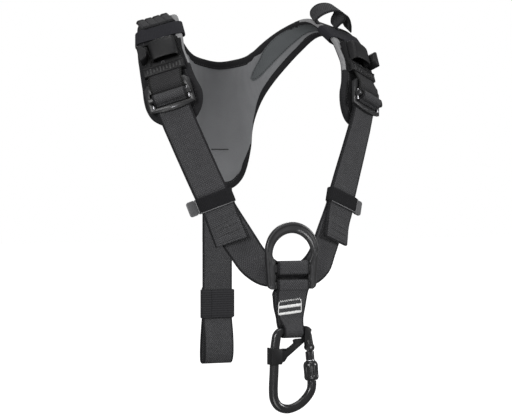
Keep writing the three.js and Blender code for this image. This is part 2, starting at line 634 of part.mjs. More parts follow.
// Shoulder loops: webbing across the top of each arm. The left one stands open as an arch with a free end,
// and the right one lies flat in three humps. w and h are shares of the arm's width there and of ARCH_H.
const LOOP_ROW = 12.3;
const loopFoot = onArm(LOOP_ROW, 0, PANEL_T + GAP + LOOP_T / 2);
const loopEnd = onArm(LOOP_ROW, 1, PANEL_T + GAP + LOOP_T / 2);
const loopAlong = onArm(LOOP_ROW + 0.3, 0.5, 0).sub(onArm(LOOP_ROW - 0.3, 0.5, 0));
const loopFrame = new Frame(loopFoot, loopEnd.clone().sub(loopFoot), loopAlong.clone().negate());
const ARM_W = loopEnd.distanceTo(loopFoot);
const loopRow = (w, h) => ({
  a: loopFrame.at(w * ARM_W, -LOOP_WEB / 2, h * ARCH_H),
  b: loopFrame.at(w * ARM_W, LOOP_WEB / 2, h * ARCH_H),
  t: LOOP_T,
});
const ARCH = [
  { w: 0.14, h: 0 },
  { w: 0.02, h: 0.02 },
  { w: 0, h: 0.3 },
  { w: 0.1, h: 0.72 },
  { w: 0.27, h: 0.98 },
  { w: 0.45, h: 0.97 },
  { w: 0.52, h: 0.68 },
  { w: 0.5, h: 0.3 },
  { w: 0.52, h: 0.06 },
  { w: 0.64, h: 0 },
];
const FREE_END = [
  { w: 0.42, h: 0.99 },
  { w: 0.6, h: 0.86 },
  { w: 0.72, h: 0.55 },
  { w: 0.84, h: 0.28 },
];
const arch = smoothWebbing(ARCH.map((r) => loopRow(r.w, r.h)), 2);
const freeEnd = smoothWebbing(FREE_END.map((r) => loopRow(r.w, r.h)), 2);
piece("shoulder_loop_left", geometryOf(cut(join(arch, freeEnd), armEnvelope)), WEBBING);

const HUMPS = 3;
const HUMP_FROM = 0.1;
const HUMP_TO = 0.86;
const HUMP_H = 0.24;
const humpSteps = 6;
const humpRows = Array.from({ length: HUMPS * humpSteps + 1 }, (_, i) => {
  const f = i / (HUMPS * humpSteps);
  const h = HUMP_H * Math.abs(Math.sin(Math.PI * HUMPS * f));
  return loopRow(HUMP_FROM + (HUMP_TO - HUMP_FROM) * f, h);
});
const humps = cut(solid(webbing(humpRows)), armEnvelope);
piece("shoulder_loop_right", geometryOf(humps), WEBBING).scale.x = -1;

// Chest ring, forged in one plate: an arch over the eye, a middle bar, a slot and a lower bar.
// The arch stands a little proud of the legs.
const XZ = new THREE.Matrix4().makeBasis(V(1, 0, 0), V(0, 0, 1), V(0, -1, 0));
const YZ = new THREE.Matrix4().makeBasis(V(0, 1, 0), V(0, 0, 1), V(1, 0, 0));
const RING_LEG_STEP = 0.4;
const ringLow = -(RING_TOP + RING_H);
const archMiddle = -(RING_TOP + RING_W / 2);
const ringOutline = new THREE.Shape();
ringOutline.absarc(0, archMiddle, RING_W / 2, 0, Math.PI);
ringOutline.lineTo(-RING_FOOT / 2, ringLow + RING_CORNER);
ringOutline.lineTo(-RING_FOOT / 2 + RING_CORNER, ringLow);
ringOutline.lineTo(RING_FOOT / 2 - RING_CORNER, ringLow);
ringOutline.lineTo(RING_FOOT / 2, ringLow + RING_CORNER);
const EYE_R = RING_W / 2 - RING_SIDE;
const eyeMiddle = -(RING_TOP + RING_RIM + EYE_R);
const slotLow = ringLow + FOOT_BAR_H;
const slotTop = slotLow + SLOT_H;
const barTop = slotTop + BAR_H;
const eye = new THREE.Path();
eye.moveTo(-SLOT_W / 2, barTop);
eye.lineTo(SLOT_W / 2, barTop);
eye.lineTo(EYE_R, eyeMiddle);
eye.absarc(0, eyeMiddle, EYE_R, 0, Math.PI);
ringOutline.holes.push(eye, rounded(THREE.Path, -SLOT_W / 2, SLOT_W / 2, slotLow, slotTop, 1.5));
const RING_BEVEL = 1;
const ringPlate = new THREE.ExtrudeGeometry(ringOutline, {
  depth: RING_T - 2 * RING_BEVEL,
  bevelThickness: RING_BEVEL,
  bevelSize: RING_BEVEL,
  bevelOffset: -RING_BEVEL,
  bevelSegments: 1,
  curveSegments: 9,
});
ringPlate.translate(0, 0, RING_BEVEL).applyMatrix4(XZ).translate(0, -CHEST + RING_T / 2, 0);
const legFront = new THREE.BoxGeometry(2 * RING_W, RING_T, barTop - ringLow + RING_T);
legFront.translate(0, -CHEST - RING_T + RING_LEG_STEP, (barTop + ringLow) / 2);
piece("chest_ring", geometryOf(cut(solid(ringPlate), legFront)), FORGED);

// Webbing wrapped over the middle bar, where the two straps are sewn together: outlines in the YZ plane,
// extruded across.
function acrossX(outline, width) {
  const g = new THREE.ExtrudeGeometry(outline, {
    depth: width,
    bevelEnabled: false,
    curveSegments: 5,
  });
  return g.translate(0, 0, -width / 2).applyMatrix4(YZ);
}
const sleeveRound = (high, low, grow, r) =>
  rounded(
    THREE.Shape,
    -CHEST - RING_T / 2 - grow,
    -CHEST + RING_T / 2 + grow,
    low - grow,
    high + grow,
    r,
  );
const wrapWidth = SLOT_W - 4 * GAP;
const wrap = solid(acrossX(sleeveRound(barTop, slotTop, GAP + WEB_T, 3), wrapWidth));
piece(
  "ring_wrap",
  geometryOf(cut(wrap, acrossX(sleeveRound(barTop, slotTop, GAP, 1), 2 * wrapWidth))),
  WEBBING,
);

// Webbing loop: over the lower bar, sewn together below it, and round the carabiner's top bow.
// It narrows from the bar to its neck.
const eyeR = ROD / 2 + 3 * GAP;
const bowDown = VENTRAL_END - WEB_T - eyeR;
const SEWN_HALF = 1.5 * WEB_T;
const sewnHigh = ringLow - 10;
const sewnLow = -(VENTRAL_END - VENTRAL_EYE);
const loopOutline = sleeveRound(slotLow, ringLow, GAP + WEB_T, 3);
const stem = new THREE.Shape();
stem.moveTo(-CHEST - RING_T / 2, ringLow - GAP);
stem.lineTo(-CHEST - SEWN_HALF, sewnHigh);
stem.lineTo(-CHEST - SEWN_HALF, sewnLow);
stem.lineTo(-CHEST - eyeR - WEB_T, -bowDown);
stem.absarc(-CHEST, -bowDown, eyeR + WEB_T, Math.PI, 2 * Math.PI);
stem.lineTo(-CHEST + SEWN_HALF, sewnLow);
stem.lineTo(-CHEST + SEWN_HALF, sewnHigh);
stem.lineTo(-CHEST + RING_T / 2, ringLow - GAP);
const bowEye = new THREE.Shape();
bowEye.absarc(-CHEST, -bowDown, eyeR, 0, 2 * Math.PI);
const loopBlank = join(acrossX(loopOutline, wrapWidth), acrossX(stem, wrapWidth));
const loopCut = cut(
  loopBlank,
  acrossX(sleeveRound(slotLow, ringLow, GAP, 1), 2 * wrapWidth),
  acrossX(bowEye, 2 * wrapWidth),
);
const taper = (z) => {
  const share = THREE.MathUtils.clamp((sewnHigh - z) / (bowDown + sewnHigh), 0, 1);
  return 1 - share * (1 - VENTRAL_NECK / wrapWidth);
};
const ventral = geometryOf(loopCut);
const ventralAt = ventral.getAttribute("position");
for (let i = 0; i < ventralAt.count; i++) {
  ventralAt.setX(i, ventralAt.getX(i) * taper(ventralAt.getZ(i)));
}
piece("ventral_loop", ventral, WEBBING);

// Carabiner, in the ring's middle plane. Its rod is one bent bar from the hinge over the top bow, down the
// spine and round to the nose. out is a share of half its width, down of its centre-line height.
const KRAB_H = KRAB_DROP - bowDown - ROD / 2;
const krabAt = (x, down) => V(x, -CHEST, -bowDown - down);
const LOWER_ROD = [
  { out: -0.73, down: 0.23 },
  { out: -0.76, down: 0.5 },
  { out: -0.79, down: 0.783 },
  { out: -0.741, down: 0.881 },
  { out: -0.56, down: 0.963 },
  { out: -0.25, down: 1 },
  { out: 0.06, down: 0.985 },
  { out: 0.353, down: 0.941 },
  { out: 0.632, down: 0.862 },
  { out: 0.81, down: 0.775 },
  { out: 0.85, down: 0.71 },
];
const HINGE = { out: 0.741, down: 0.215 };
const hinge = krabAt((HINGE.out * KRAB_W) / 2, HINGE.down * KRAB_H);
const noseLine = krabAt((0.85 * KRAB_W) / 2, 0.65 * KRAB_H);
const gateTurn = -Math.atan2(noseLine.x - hinge.x, hinge.z - noseLine.z);
const NOSE_GAP = 0.9;
const gateDown = V(-Math.sin(gateTurn), 0, -Math.cos(gateTurn));
const noseEnd = hinge.clone().addScaledVector(gateDown, GATE_L + NOSE_GAP);
const bend = (side) =>
  Array.from({ length: 4 }, (_, i) => {
    const angle = (Math.PI / 6) * (side > 0 ? i : 3 - i);
    const x = side * (BOW_FLAT / 2 + BOW_R * Math.cos(angle));
    return krabAt(x, BOW_R * (1 - Math.sin(angle)));
  });
const lowerRod = smooth(LOWER_ROD.map((r) => krabAt((r.out * KRAB_W) / 2, r.down * KRAB_H)), 2);
const krabPath = [hinge, ...bend(1), ...bend(-1), ...lowerRod, noseEnd];
const earR = 0.42 * ROD;
const across = (r) => rod(hinge.clone().add(V(0, -ROD, 0)), hinge.clone().add(V(0, ROD, 0)), r);
const earDisc = rod(
  hinge.clone().add(V(0, -0.47 * ROD, 0)),
  hinge.clone().add(V(0, 0.47 * ROD, 0)),
  earR,
);
const slotHalf = TONGUE_T / 2 + GAP;
const hingeSlot = new THREE.BoxGeometry(2 * ROD, 2 * slotHalf, ROD);
hingeSlot.translate(hinge.x, hinge.y, hinge.z);
const krabBody = cut(
  join(roundBar(krabPath, ROD / 2), earDisc),
  hingeSlot,
  across(PIN_D / 2 + GAP),
);
piece("carabiner_body", geometryOf(krabBody), SATIN_BLACK);
piece(
  "gate_pin",
  rod(hinge.clone().add(V(0, -0.45 * ROD, 0)), hinge.clone().add(V(0, 0.45 * ROD, 0)), PIN_D / 2),
  STEEL,
);

// Gate: a round bar with a hinge tongue, in a group at the pin, and the screw sleeve on it
const gateGroup = new THREE.Group();
gateGroup.position.copy(hinge);
gateGroup.rotation.y = gateTurn;
harness.add(gateGroup);
const gateTop = earR + 2 * GAP;
const gateBar = rod(V(0, 0, -gateTop), V(0, 0, -GATE_L), GATE_D / 2, 16);
const tongueHalf = 0.3 * GATE_D;
const tongue = new THREE.BoxGeometry(2 * tongueHalf, TONGUE_T, gateTop + 2);
tongue.translate(0, 0, -(gateTop + 2) / 2);
const tongueEnd = rod(V(0, -TONGUE_T / 2, 0), V(0, TONGUE_T / 2, 0), tongueHalf);
const pinHole = rod(V(0, -TONGUE_T, 0), V(0, TONGUE_T, 0), PIN_D / 2 + GAP);
piece(
  "gate",
  geometryOf(cut(join(gateBar, tongue, tongueEnd), pinHole)),
  SATIN_BLACK,
  gateGroup,
);
const SLEEVE_PROFILE = [
  { r: 0.76, up: 0 },
  { r: 0.95, up: 0.1 },
  { r: 1, up: 0.45 },
  { r: 0.94, up: 0.84 },
  { r: 0.74, up: 1 },
];
const boreR = GATE_D / 2 + GAP;
const sleeveProfile = [
  new THREE.Vector2(boreR, 0),
  ...SLEEVE_PROFILE.map((s) => new THREE.Vector2((s.r * SLEEVE_D) / 2, s.up * SLEEVE_L)),
  new THREE.Vector2(boreR, SLEEVE_L),
  new THREE.Vector2(boreR, 0),
];
const sleeve = new THREE.LatheGeometry(sleeveProfile, 20).rotateX(Math.PI / 2);
piece("screw_sleeve", sleeve.translate(0, 0, -GATE_L), SATIN_BLACK, gateGroup);

// Positioning bar: a plastic clip that clasps the spine, crosses the basket and clasps the bend over the hinge
const CLASP_LOW = 0.43; // places down the carabiner as shares of its centre-line height
const spineX = -0.745 * (KRAB_W / 2);
const claspLow = CLASP_LOW * KRAB_H;
const claspTop = claspLow - CLAMP_H;
const swingR = eyeR + WEB_T + 2 * GAP; // the webbing loop turns inside this radius of the bow
const plateIn = (points, thickness) => {
  const outline = new THREE.Shape(points.map(([x, down]) => new THREE.Vector2(x, -bowDown - down)));
  const g = new THREE.ExtrudeGeometry(outline, { depth: thickness, bevelEnabled: false });
  return g.applyMatrix4(XZ).translate(0, -CHEST + thickness / 2, 0);
};
const claspHalf = ROD / 2 + 3;
const bendX = BOW_FLAT / 2 + BOW_R;
const hookX = VENTRAL_NECK / 2 + 3;
const clasp = plateIn(
  [
    [spineX - claspHalf, claspLow],
    [spineX + claspHalf - 1, claspLow],
    [spineX + claspHalf + 1, claspLow - 2],
    [spineX + claspHalf + 1, claspTop],
    [spineX - claspHalf, claspTop],
  ],
  CLAMP_T,
);
const hook = plateIn(
  [
    [hookX, bendX - ROD],
    [hookX, -ROD / 2 + 1],
    [hookX + 5, -ROD / 2 - 1],
    [bendX + 5, 0],
    [bendX + ROD / 2 + 2, bendX - ROD],
  ],
  CLAMP_T,
);
const strut = plateIn(
  [
    [spineX + ROD / 2, claspLow],
    [spineX + ROD, claspLow - 2],
    [spineX + ROD + 5, claspLow - 8],
    [hookX + 4, bendX - ROD + 1],
    [hookX + 1, swingR - 2],
    [hookX - 2, swingR],
    [hookX - 9, swingR],
    [hookX - PAWL_L, swingR + 2],
    [hookX - PAWL_L, swingR + 7],
    [spineX + ROD + 8, claspTop + 2],
    [spineX + ROD / 2, claspTop],
  ],
  BAR_T,
);
const rodSpace = roundBar(krabPath, ROD / 2 + GAP);
piece(
  "positioning_bar",
  geometryOf(cut(join(clasp, hook, strut), rodSpace)),
  PLASTIC,
);

// Rear strap: sewn on the back of the panel's lower end, hanging, and turned up into an open loop.
// back is counted from the panel's back face, down from the nape.
const backFace = PANEL_T + GAP + WEB_T / 2;
const bandLow = REAR_END - REAR_LOOP;
const bandHigh = bandLow - REAR_BAND_H;
const loopDown = (share) => bandLow + share * REAR_LOOP;
const rearPath = [
  { back: 0, down: TAIL_DROP - REAR_SEWN },
  { back: 0, down: TAIL_DROP },
  { back: 0.4, down: (TAIL_DROP + bandHigh) / 2 },
  { back: 0.4, down: bandHigh },
  { back: 0.4, down: bandLow },
  { back: 0.4 - 0.3 * REAR_OPEN, down: loopDown(0.3) },
  { back: 0.4 - 0.45 * REAR_OPEN, down: loopDown(0.6) },
  { back: 0.4 - 0.35 * REAR_OPEN, down: loopDown(0.85) },
  { back: 0.4, down: loopDown(0.97) },
  { back: 0.4 + 0.3 * REAR_OPEN, down: REAR_END - WEB_T / 2 },
  { back: 0.4 + 0.6 * REAR_OPEN, down: loopDown(0.95) },
  { back: 0.4 + 0.7 * REAR_OPEN, down: loopDown(0.8) },
  { back: 0.4 + 0.6 * REAR_OPEN, down: loopDown(0.5) },
  { back: 0.4 + LAYER + 0.1 * REAR_OPEN, down: loopDown(0.1) },
  { back: 0.4 + LAYER, down: bandLow },
  { back: 0.4 + LAYER, down: bandHigh - 3 },
];
const rearRows = rearPath.map((r) => ({
  a: V(-WEB / 2, backFace + r.back, -r.down),
  b: V(WEB / 2, backFace + r.back, -r.down),
  t: WEB_T,
}));
piece("rear_strap", webbing(rearRows), WEBBING);
const rearBand = new Frame(
  V(0, backFace + 0.4, -(bandLow + bandHigh) / 2),
  V(-1, 0, 0),
  V(0, 0, 1),
);
piece(
  "rear_band",
  hollowBox(
    rearBand,
    WEB / 2 + GAP,
    REAR_BAND_H / 2,
    -WEB_T / 2 - GAP,
    WEB_T / 2 + LAYER + GAP,
    BAND_T,
  ),
  ELASTIC,
);

export default harness;
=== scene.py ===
"""A climbing chest harness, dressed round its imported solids.

Lengths are in millimetres until a mesh is made, and +Z is up. The wearer faces -Y, and their left is +X.
"""

import math

import bpy
from mathutils import Matrix, Vector


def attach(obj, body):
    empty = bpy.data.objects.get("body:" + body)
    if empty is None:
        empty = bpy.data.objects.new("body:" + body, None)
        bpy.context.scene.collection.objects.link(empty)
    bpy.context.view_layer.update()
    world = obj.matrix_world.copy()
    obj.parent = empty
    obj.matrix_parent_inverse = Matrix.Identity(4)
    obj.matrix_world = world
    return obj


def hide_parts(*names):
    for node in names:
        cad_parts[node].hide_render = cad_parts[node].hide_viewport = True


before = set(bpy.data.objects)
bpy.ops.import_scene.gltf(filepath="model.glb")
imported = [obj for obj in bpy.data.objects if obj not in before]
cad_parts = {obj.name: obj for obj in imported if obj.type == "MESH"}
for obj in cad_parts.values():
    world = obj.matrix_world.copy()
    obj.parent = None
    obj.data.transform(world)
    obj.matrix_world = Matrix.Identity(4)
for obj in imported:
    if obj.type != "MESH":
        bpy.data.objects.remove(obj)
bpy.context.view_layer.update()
MM = 0.001
GAP = 0.3

# Camera
# A long lens from a little to the wearer's right, level with the chest ring's top.
AZIMUTH = math.radians(-25)
ELEVATION = math.radians(1)
DISTANCE = 3.0
TARGET = Vector((0.0005, -0.11787, -0.20455))
back = Vector(
    (
        math.sin(AZIMUTH) * math.cos(ELEVATION),
        -math.cos(AZIMUTH) * math.cos(ELEVATION),
        math.sin(ELEVATION),
    )
)
bpy.ops.object.camera_add(location=TARGET + DISTANCE * back)
camera = bpy.context.object
camera.rotation_euler = (-back).to_track_quat("-Z", "Y").to_euler()
camera.data.sensor_width = 36
camera.data.lens = 156.25
camera.data.clip_end = 100
bpy.context.scene.camera = camera

# Yoke panel
# A Y of closed-cell foam faced with knitted fabric, grey towards the wearer and black outside.
# It crosses the shoulders from the back panel's lower end to a tongue on each side of the chest.
YOKE_HALF = 170
YOKE_REACH = 169
ARM_RISE = 51
TAIL_DROP = 178.5
TONGUE_DROP = 96.5
BIND_T = 1.2
PANEL_T = 8

# Rows from the centre plane to a tongue's tip: the neck's edge, then the outer edge, each as shares
# of the sizes above: out, forwards and up.
BACK_ROWS = [
    (0, 0, 0, 0, 0, 1),
    (0.071, 0, 0.022, 0.12, 0, 0.989),
    (0.129, 0.004, 0.06, 0.2, 0, 0.927),
    (0.182, 0.012, 0.1, 0.247, 0, 0.84),
    (0.224, 0.018, 0.148, 0.288, 0, 0.678),
    (0.256, 0.027, 0.21, 0.299, 0.002, 0.547),
    (0.282, 0.036, 0.278, 0.328, 0.008, 0.421),
    (0.312, 0.05, 0.38, 0.376, 0.03, 0.295),
    (0.342, 0.065, 0.49, 0.448, 0.071, 0.17),
]
ARM_ROWS = [
    (0.402, 0.112, 0.69, 0.536, 0.136, -0.157),
    (0.464, 0.183, 0.87, 0.626, 0.225, 0.26),
    (0.524, 0.296, 0.99, 0.741, 0.337, 0.65),
    (0.571, 0.466, 1, 0.915, 0.485, 0.66),
    (0.618, 0.628, 0.72, 0.96, 0.57, 0.4),
    (0.644, 0.742, 0.45, 0.983, 0.635, 0.11),
    (0.658, 0.817, 0.1, 0.996, 0.685, -0.19),
]
TONGUE_ROWS = [
    (0.652, 0.882, 0.083, 1, 0.719, 0.207),
    (0.624, 0.947, 0.321, 0.997, 0.746, 0.363),
    (0.589, 0.988, 0.477, 0.992, 0.766, 0.497),
    (0.584, 1, 0.611, 0.988, 0.781, 0.632),
    (0.603, 0.994, 0.756, 0.971, 0.799, 0.777),
    (0.647, 0.976, 0.886, 0.932, 0.828, 0.902),
    (0.724, 0.944, 0.974, 0.868, 0.87, 0.977),
    (0.768, 0.926, 0.998, 0.826, 0.896, 0.999),
]


def yoke_point(out, forward, height):
    return Vector((out * YOKE_HALF, -forward * YOKE_REACH, height))


half_rows = []
for table, rise, fall in (
    (BACK_ROWS, ARM_RISE, -TAIL_DROP),
    (ARM_ROWS, ARM_RISE, ARM_RISE),
    (TONGUE_ROWS, -TONGUE_DROP, -TONGUE_DROP),
):
    for r in table:
        half_rows.append((yoke_point(r[0], r[1], r[2] * rise), yoke_point(r[3], r[4], r[5] * fall)))
CENTRE_ROW = len(half_rows) - 1
MIRROR = Vector((-1, 1, 1))
yoke_rows = [(a * MIRROR, b * MIRROR) for a, b in reversed(half_rows[1:])] + half_rows


def curve_through(points, steps):
    """Points along a smooth curve through the given ones, that many steps between each two."""
    knots = [0.0]
    for a, b in zip(points, points[1:]):
        knots.append(knots[-1] + max((b - a).length, 1e-6) ** 0.5)
    slopes = [(b - a) / (t - s) for a, b, s, t in zip(points, points[1:], knots, knots[1:])]
    tangents = [slopes[0]]
    for i in range(1, len(points) - 1):
        before, after = knots[i] - knots[i - 1], knots[i + 1] - knots[i]
        tangents.append((slopes[i - 1] * after + slopes[i] * before) / (before + after))
    tangents.append(slopes[-1])
    made = []
    for i in range(len(points) - 1):
        span = knots[i + 1] - knots[i]
        for k in range(steps):
            t = k / steps
            made.append(
                points[i] * (2 * t**3 - 3 * t**2 + 1)
                + tangents[i] * span * (t**3 - 2 * t**2 + t)
                + points[i + 1] * (3 * t**2 - 2 * t**3)
                + tangents[i + 1] * span * (t**3 - t**2)
            )
    made.append(points[-1].copy())
    return made


def normals_of(rows):
    """The outward direction of a band of rows at each of them."""
    made = []
    for i, (a, b) in enumerate(rows):
        p, q = rows[max(i - 1, 0)], rows[min(i + 1, len(rows) - 1)]
        along = q[0] + q[1] - p[0] - p[1]
        made.append(along.cross(b - a).normalized())
    return made


yoke_normals = normals_of(yoke_rows)
YOKE_STEPS = 5
fine_rows = list(
    zip(
        curve_through([a for a, b in yoke_rows], YOKE_STEPS),
        curve_through([b for a, b in yoke_rows], YOKE_STEPS),
    )
)
fine_normals = normals_of(fine_rows)


def named(made, name):
    made.name = name
    made.data.name = name
    return made


def sweep(name, rings, around, closed=False, marked=None):
    """A skin over rings of points: a grid rolled up, with its ends filled. Its UV map is in metres.
    marked says of a row and a column whether that face takes the piece's second finish."""
    columns = len(rings[0])
    rows = rings + rings[:1] if closed else rings
    bpy.ops.mesh.primitive_grid_add(x_subdivisions=columns, y_subdivisions=len(rows) - 1)
    made = named(bpy.context.object, name)
    places = [p for ring in rows for p in [*ring, ring[0]]]
    made.data.vertices.foreach_set("co", [x * MM for p in places for x in p])
    along = [0.0]
    middles = [sum(ring, Vector()) / columns for ring in rows]
    for p, q in zip(middles, middles[1:]):
        along.append(along[-1] + (q - p).length * MM)
    across = [u * MM for u in around]
    uv = made.data.uv_layers.active.data
    for loop in made.data.loops:
        row, column = divmod(loop.vertex_index, columns + 1)
        uv[loop.index].uv = (across[column], along[row])
    if marked:
        for face in made.data.polygons:
            row, column = divmod(face.index, columns)
            face.material_index = 1 if marked(row, column) else 0
    bpy.ops.object.mode_set(mode="EDIT")
    bpy.ops.mesh.select_all(action="SELECT")
    bpy.ops.mesh.remove_doubles(threshold=1e-6)
    bpy.ops.mesh.fill_holes(sides=0)
    bpy.ops.mesh.normals_make_consistent(inside=False)
    bpy.ops.object.mode_set(mode="OBJECT")
    return made


def pick(made):
    """Makes a piece the only one selected, and the active one."""
    bpy.ops.object.select_all(action="DESELECT")
    made.select_set(True)
    bpy.context.view_layer.objects.active = made


def fasten(made, material, body="harness", replaced=(), smooth=40):
    """Gives a finished piece its material, its shading and the body that it rides on."""
    pick(made)
    bpy.ops.object.shade_smooth_by_angle(angle=math.radians(smooth))
    if material:
        made.data.materials.clear()
        made.data.materials.append(material)
    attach(made, body)
    if replaced:
        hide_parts(*replaced)
    return made


def mirrored(made, name):
    """A copy of a piece for the other side, with its own mesh."""
    other = made.copy()
    other.data = made.data.copy()
    named(other, name)
    other.parent = None
    bpy.context.collection.objects.link(other)
    other.data.transform(Matrix.Scale(-1, 4, (1, 0, 0)))
    other.data.flip_normals()
    return other


def pair_of(left, material, replaced=None):
    """Fastens a piece and its mirrored copy. Both replace the node of that name on their own side."""
    stem = left.name.removesuffix("_left")
    right = mirrored(left, stem + "_right")
    for made, side in ((left, "_left"), (right, "_right")):
        fasten(made, material, replaced=[replaced + side] if replaced else ())
    return left, right


def add(material, kind, inputs=None, **settings):
    """A shader node with its settings and inputs, which are values or other nodes' sockets."""
    made = material.node_tree.nodes.new(kind)
    for key, value in settings.items():
        setattr(made, key, value)
    for socket, value in (inputs or {}).items():
        if isinstance(value, bpy.types.NodeSocket):
            material.node_tree.links.new(value, made.inputs[socket])
        else:
            made.inputs[socket].default_value = value
    return made


def finish_of(name, roughness, metallic=0.0, sheen=0.0, specular=0.5):
    """A new material with plain settings on its shader, and the shader node."""
    made = bpy.data.materials.new(name)
    made.use_nodes = True
    shader = made.node_tree.nodes["Principled BSDF"]
    shader.inputs["Roughness"].default_value = roughness
    shader.inputs["Metallic"].default_value = metallic
    shader.inputs["Sheen Weight"].default_value = sheen
    shader.inputs["Sheen Roughness"].default_value = 0.4
    shader.inputs["Specular IOR Level"].default_value = specular
    return made, shader


def colour_between(made, factor, low, high):
    """A colour from low to high by a factor."""
    mix = add(made, "ShaderNodeMix", {0: factor, 6: (*low, 1), 7: (*high, 1)}, data_type="RGBA")
    return mix.outputs[2]


def toned(made, shader, factor, low, high):
    """Gives a material a base colour from low to high by a factor."""
    made.node_tree.links.new(colour_between(made, factor, low, high), shader.inputs["Base Color"])


def maths(made, operation, first, second=0.0):
    node = add(made, "ShaderNodeMath", {0: first, 1: second}, operation=operation)
    return node.outputs[0]


def bumped(made, shader, height, depth):
    """Ends a material with a relief of that depth in millimetres."""
    bump = add(made, "ShaderNodeBump", {"Height": height, "Distance": depth * MM, "Strength": 1.0})
    made.node_tree.links.new(bump.outputs[0], shader.inputs["Normal"])


def wave(made, coordinate, pitch):
    """A ripple from 0 to 1 along a coordinate in metres, with that pitch in millimetres."""
    turns = maths(made, "MULTIPLY", coordinate, 2 * math.pi / (pitch * MM))
    return maths(made, "MULTIPLY_ADD", maths(made, "SINE", turns), 0.5)


def knitted(name, dark, light):
    """Warp-knit facing: small staggered loops, with soft cloudy variation."""
    made, shader = finish_of(name, 0.92, sheen=0.04, specular=0.12)
    place = add(made, "ShaderNodeTexCoord").outputs["Object"]
    grid = {"Vector": place, "Scale": 900.0, "Randomness": 0.35}
    loops = add(made, "ShaderNodeTexVoronoi", grid, feature="F1")
    cloud = add(made, "ShaderNodeTexNoise", {"Vector": place, "Scale": 28.0, "Detail": 4.0})
    fine = maths(made, "MULTIPLY", loops.outputs["Distance"], 0.55)
    tone = maths(made, "ADD", fine, maths(made, "MULTIPLY", cloud.outputs[0], 0.6))
    toned(made, shader, tone, light, dark)
    bumped(made, shader, maths(made, "MULTIPLY", loops.outputs["Distance"], -1.0), 0.25)
    return made


grey_knit = knitted("grey knit", (0.12, 0.122, 0.126), (0.19, 0.193, 0.2))
black_knit = knitted("black knit", (0.007, 0.007, 0.008), (0.018, 0.018, 0.019))

PAD_ACROSS = 16
PAD_CROWN = 1.5
PAD_RIM = BIND_T + 2 * GAP


def pad_section(i):
    """A ring round the panel at one row: the inner face from the neck's edge out, then the outer face."""
    (a, b), n = fine_rows[i], fine_normals[i]
    width = (b - a).length
    out = (b - a).normalized()
    inner, outer = [], []
    for k in range(PAD_ACROSS + 1):
        share = k / PAD_ACROSS
        reach = PAD_RIM + share * (width - 2 * PAD_RIM)
        crown = PAD_CROWN * (1 - abs(2 * share - 1) ** 5)
        rim = 1.6 * max(0.0, 1 - min(share, 1 - share) * PAD_ACROSS)
        inner.append(a + out * reach + n * (BIND_T + GAP - crown + rim))
        outer.append(a + out * reach + n * (PANEL_T - BIND_T - GAP + crown - rim))
    return inner + outer[::-1]


pad_rings = [pad_section(i) for i in range(len(fine_rows))]
mid_width = (half_rows[10][1] - half_rows[10][0]).length
pad_u = [mid_width * k / PAD_ACROSS for k in range(PAD_ACROSS + 1)]
yoke_pad = sweep("yoke_pad_panel", pad_rings, pad_u + pad_u[::-1] + pad_u[:1])
fasten(yoke_pad, grey_knit, replaced=["yoke_pad"])
yoke_pad.data.materials.append(black_knit)
pad_middles = [((a + b) / 2 * MM, n) for (a, b), n in zip(fine_rows[::2], fine_normals[::2])]
for face in yoke_pad.data.polygons:
    middle, out = min(pad_middles, key=lambda row: (row[0] - face.center).length)
    face.material_index = 1 if face.normal.dot(out) > 0.2 else 0

# Edge binding
# Ribbed tape folded over the panel's rim and sewn through both faces.
rim = [(p[0], n) for p, n in zip(fine_rows, fine_normals)]
rim += [(p[1], n) for p, n in reversed(list(zip(fine_rows, fine_normals)))]


def woven_axes(made):
    """Sockets with the place across a band and along it, in metres."""
    uv = add(made, "ShaderNodeTexCoord").outputs["UV"]
    return add(made, "ShaderNodeSeparateXYZ", {0: uv}).outputs


def raised(made, base, other, share):
    """The sum of one ripple and a share of another."""
    total = maths(made, "MULTIPLY_ADD", other, share)
    made.node_tree.links.new(base, total.node.inputs[2])
    return total


def ribbed(name, dark, light, pitch):
    """Narrow woven tape with ribs across it."""
    made, shader = finish_of(name, 0.85, sheen=0.02, specular=0.12)
    across, along = woven_axes(made)[:2]
    height = raised(made, wave(made, along, pitch), wave(made, across, pitch * 0.7), 0.35)
    toned(made, shader, height, dark, light)
    bumped(made, shader, height, 0.16)
    return made


binding_tape = ribbed("binding tape", (0.006, 0.006, 0.007), (0.016, 0.016, 0.017), 1.8)
# The tape's section as its reach in from the rim and its height over the inner face
BINDING_SECTION = [
    (11, 1.5),
    (10.8, 0.3),
    (9, 0.1),
    (6, -0.1),
    (3, 0.1),
    (1.1, 0.9),
    (0.2, 2.4),
    (0, 4),
    (0.2, 5.6),
    (1.1, 7.1),
    (3, 7.9),
    (6, 8.1),
    (9, 7.9),
    (10.8, 7.7),
    (11, 6.5),
]
binding_rings = []
for i, (p, n) in enumerate(rim):
    along = rim[(i + 1) % len(rim)][0] - rim[i - 1][0]
    inward = n.cross(along).normalized()
    binding_rings.append([p + inward * inset + n * height for inset, height in BINDING_SECTION])
binding_u = [0.0]
for (a, b), (c, d) in zip(BINDING_SECTION, BINDING_SECTION[1:] + BINDING_SECTION[:1]):
    binding_u.append(binding_u[-1] + math.hypot(c - a, d - b))
# Over the shoulders the tape's neck edge takes a lighter colour, a painted sheen, wide on top and narrowing
# to the front.
SHEEN_STRIP_FROM = 11.3
SHEEN_STRIP_TO = 16.4


def sheen_strip_shows(row, column):
    """Whether a face of the binding takes the lighter painted sheen: by its place along the rim."""
    if row >= len(fine_rows):
        return False
    along_arm = abs(row / YOKE_STEPS - CENTRE_ROW)
    if not SHEEN_STRIP_FROM < along_arm < SHEEN_STRIP_TO:
        return False
    widest = 12 if along_arm < 14.4 else 10
    return 6 <= column < widest


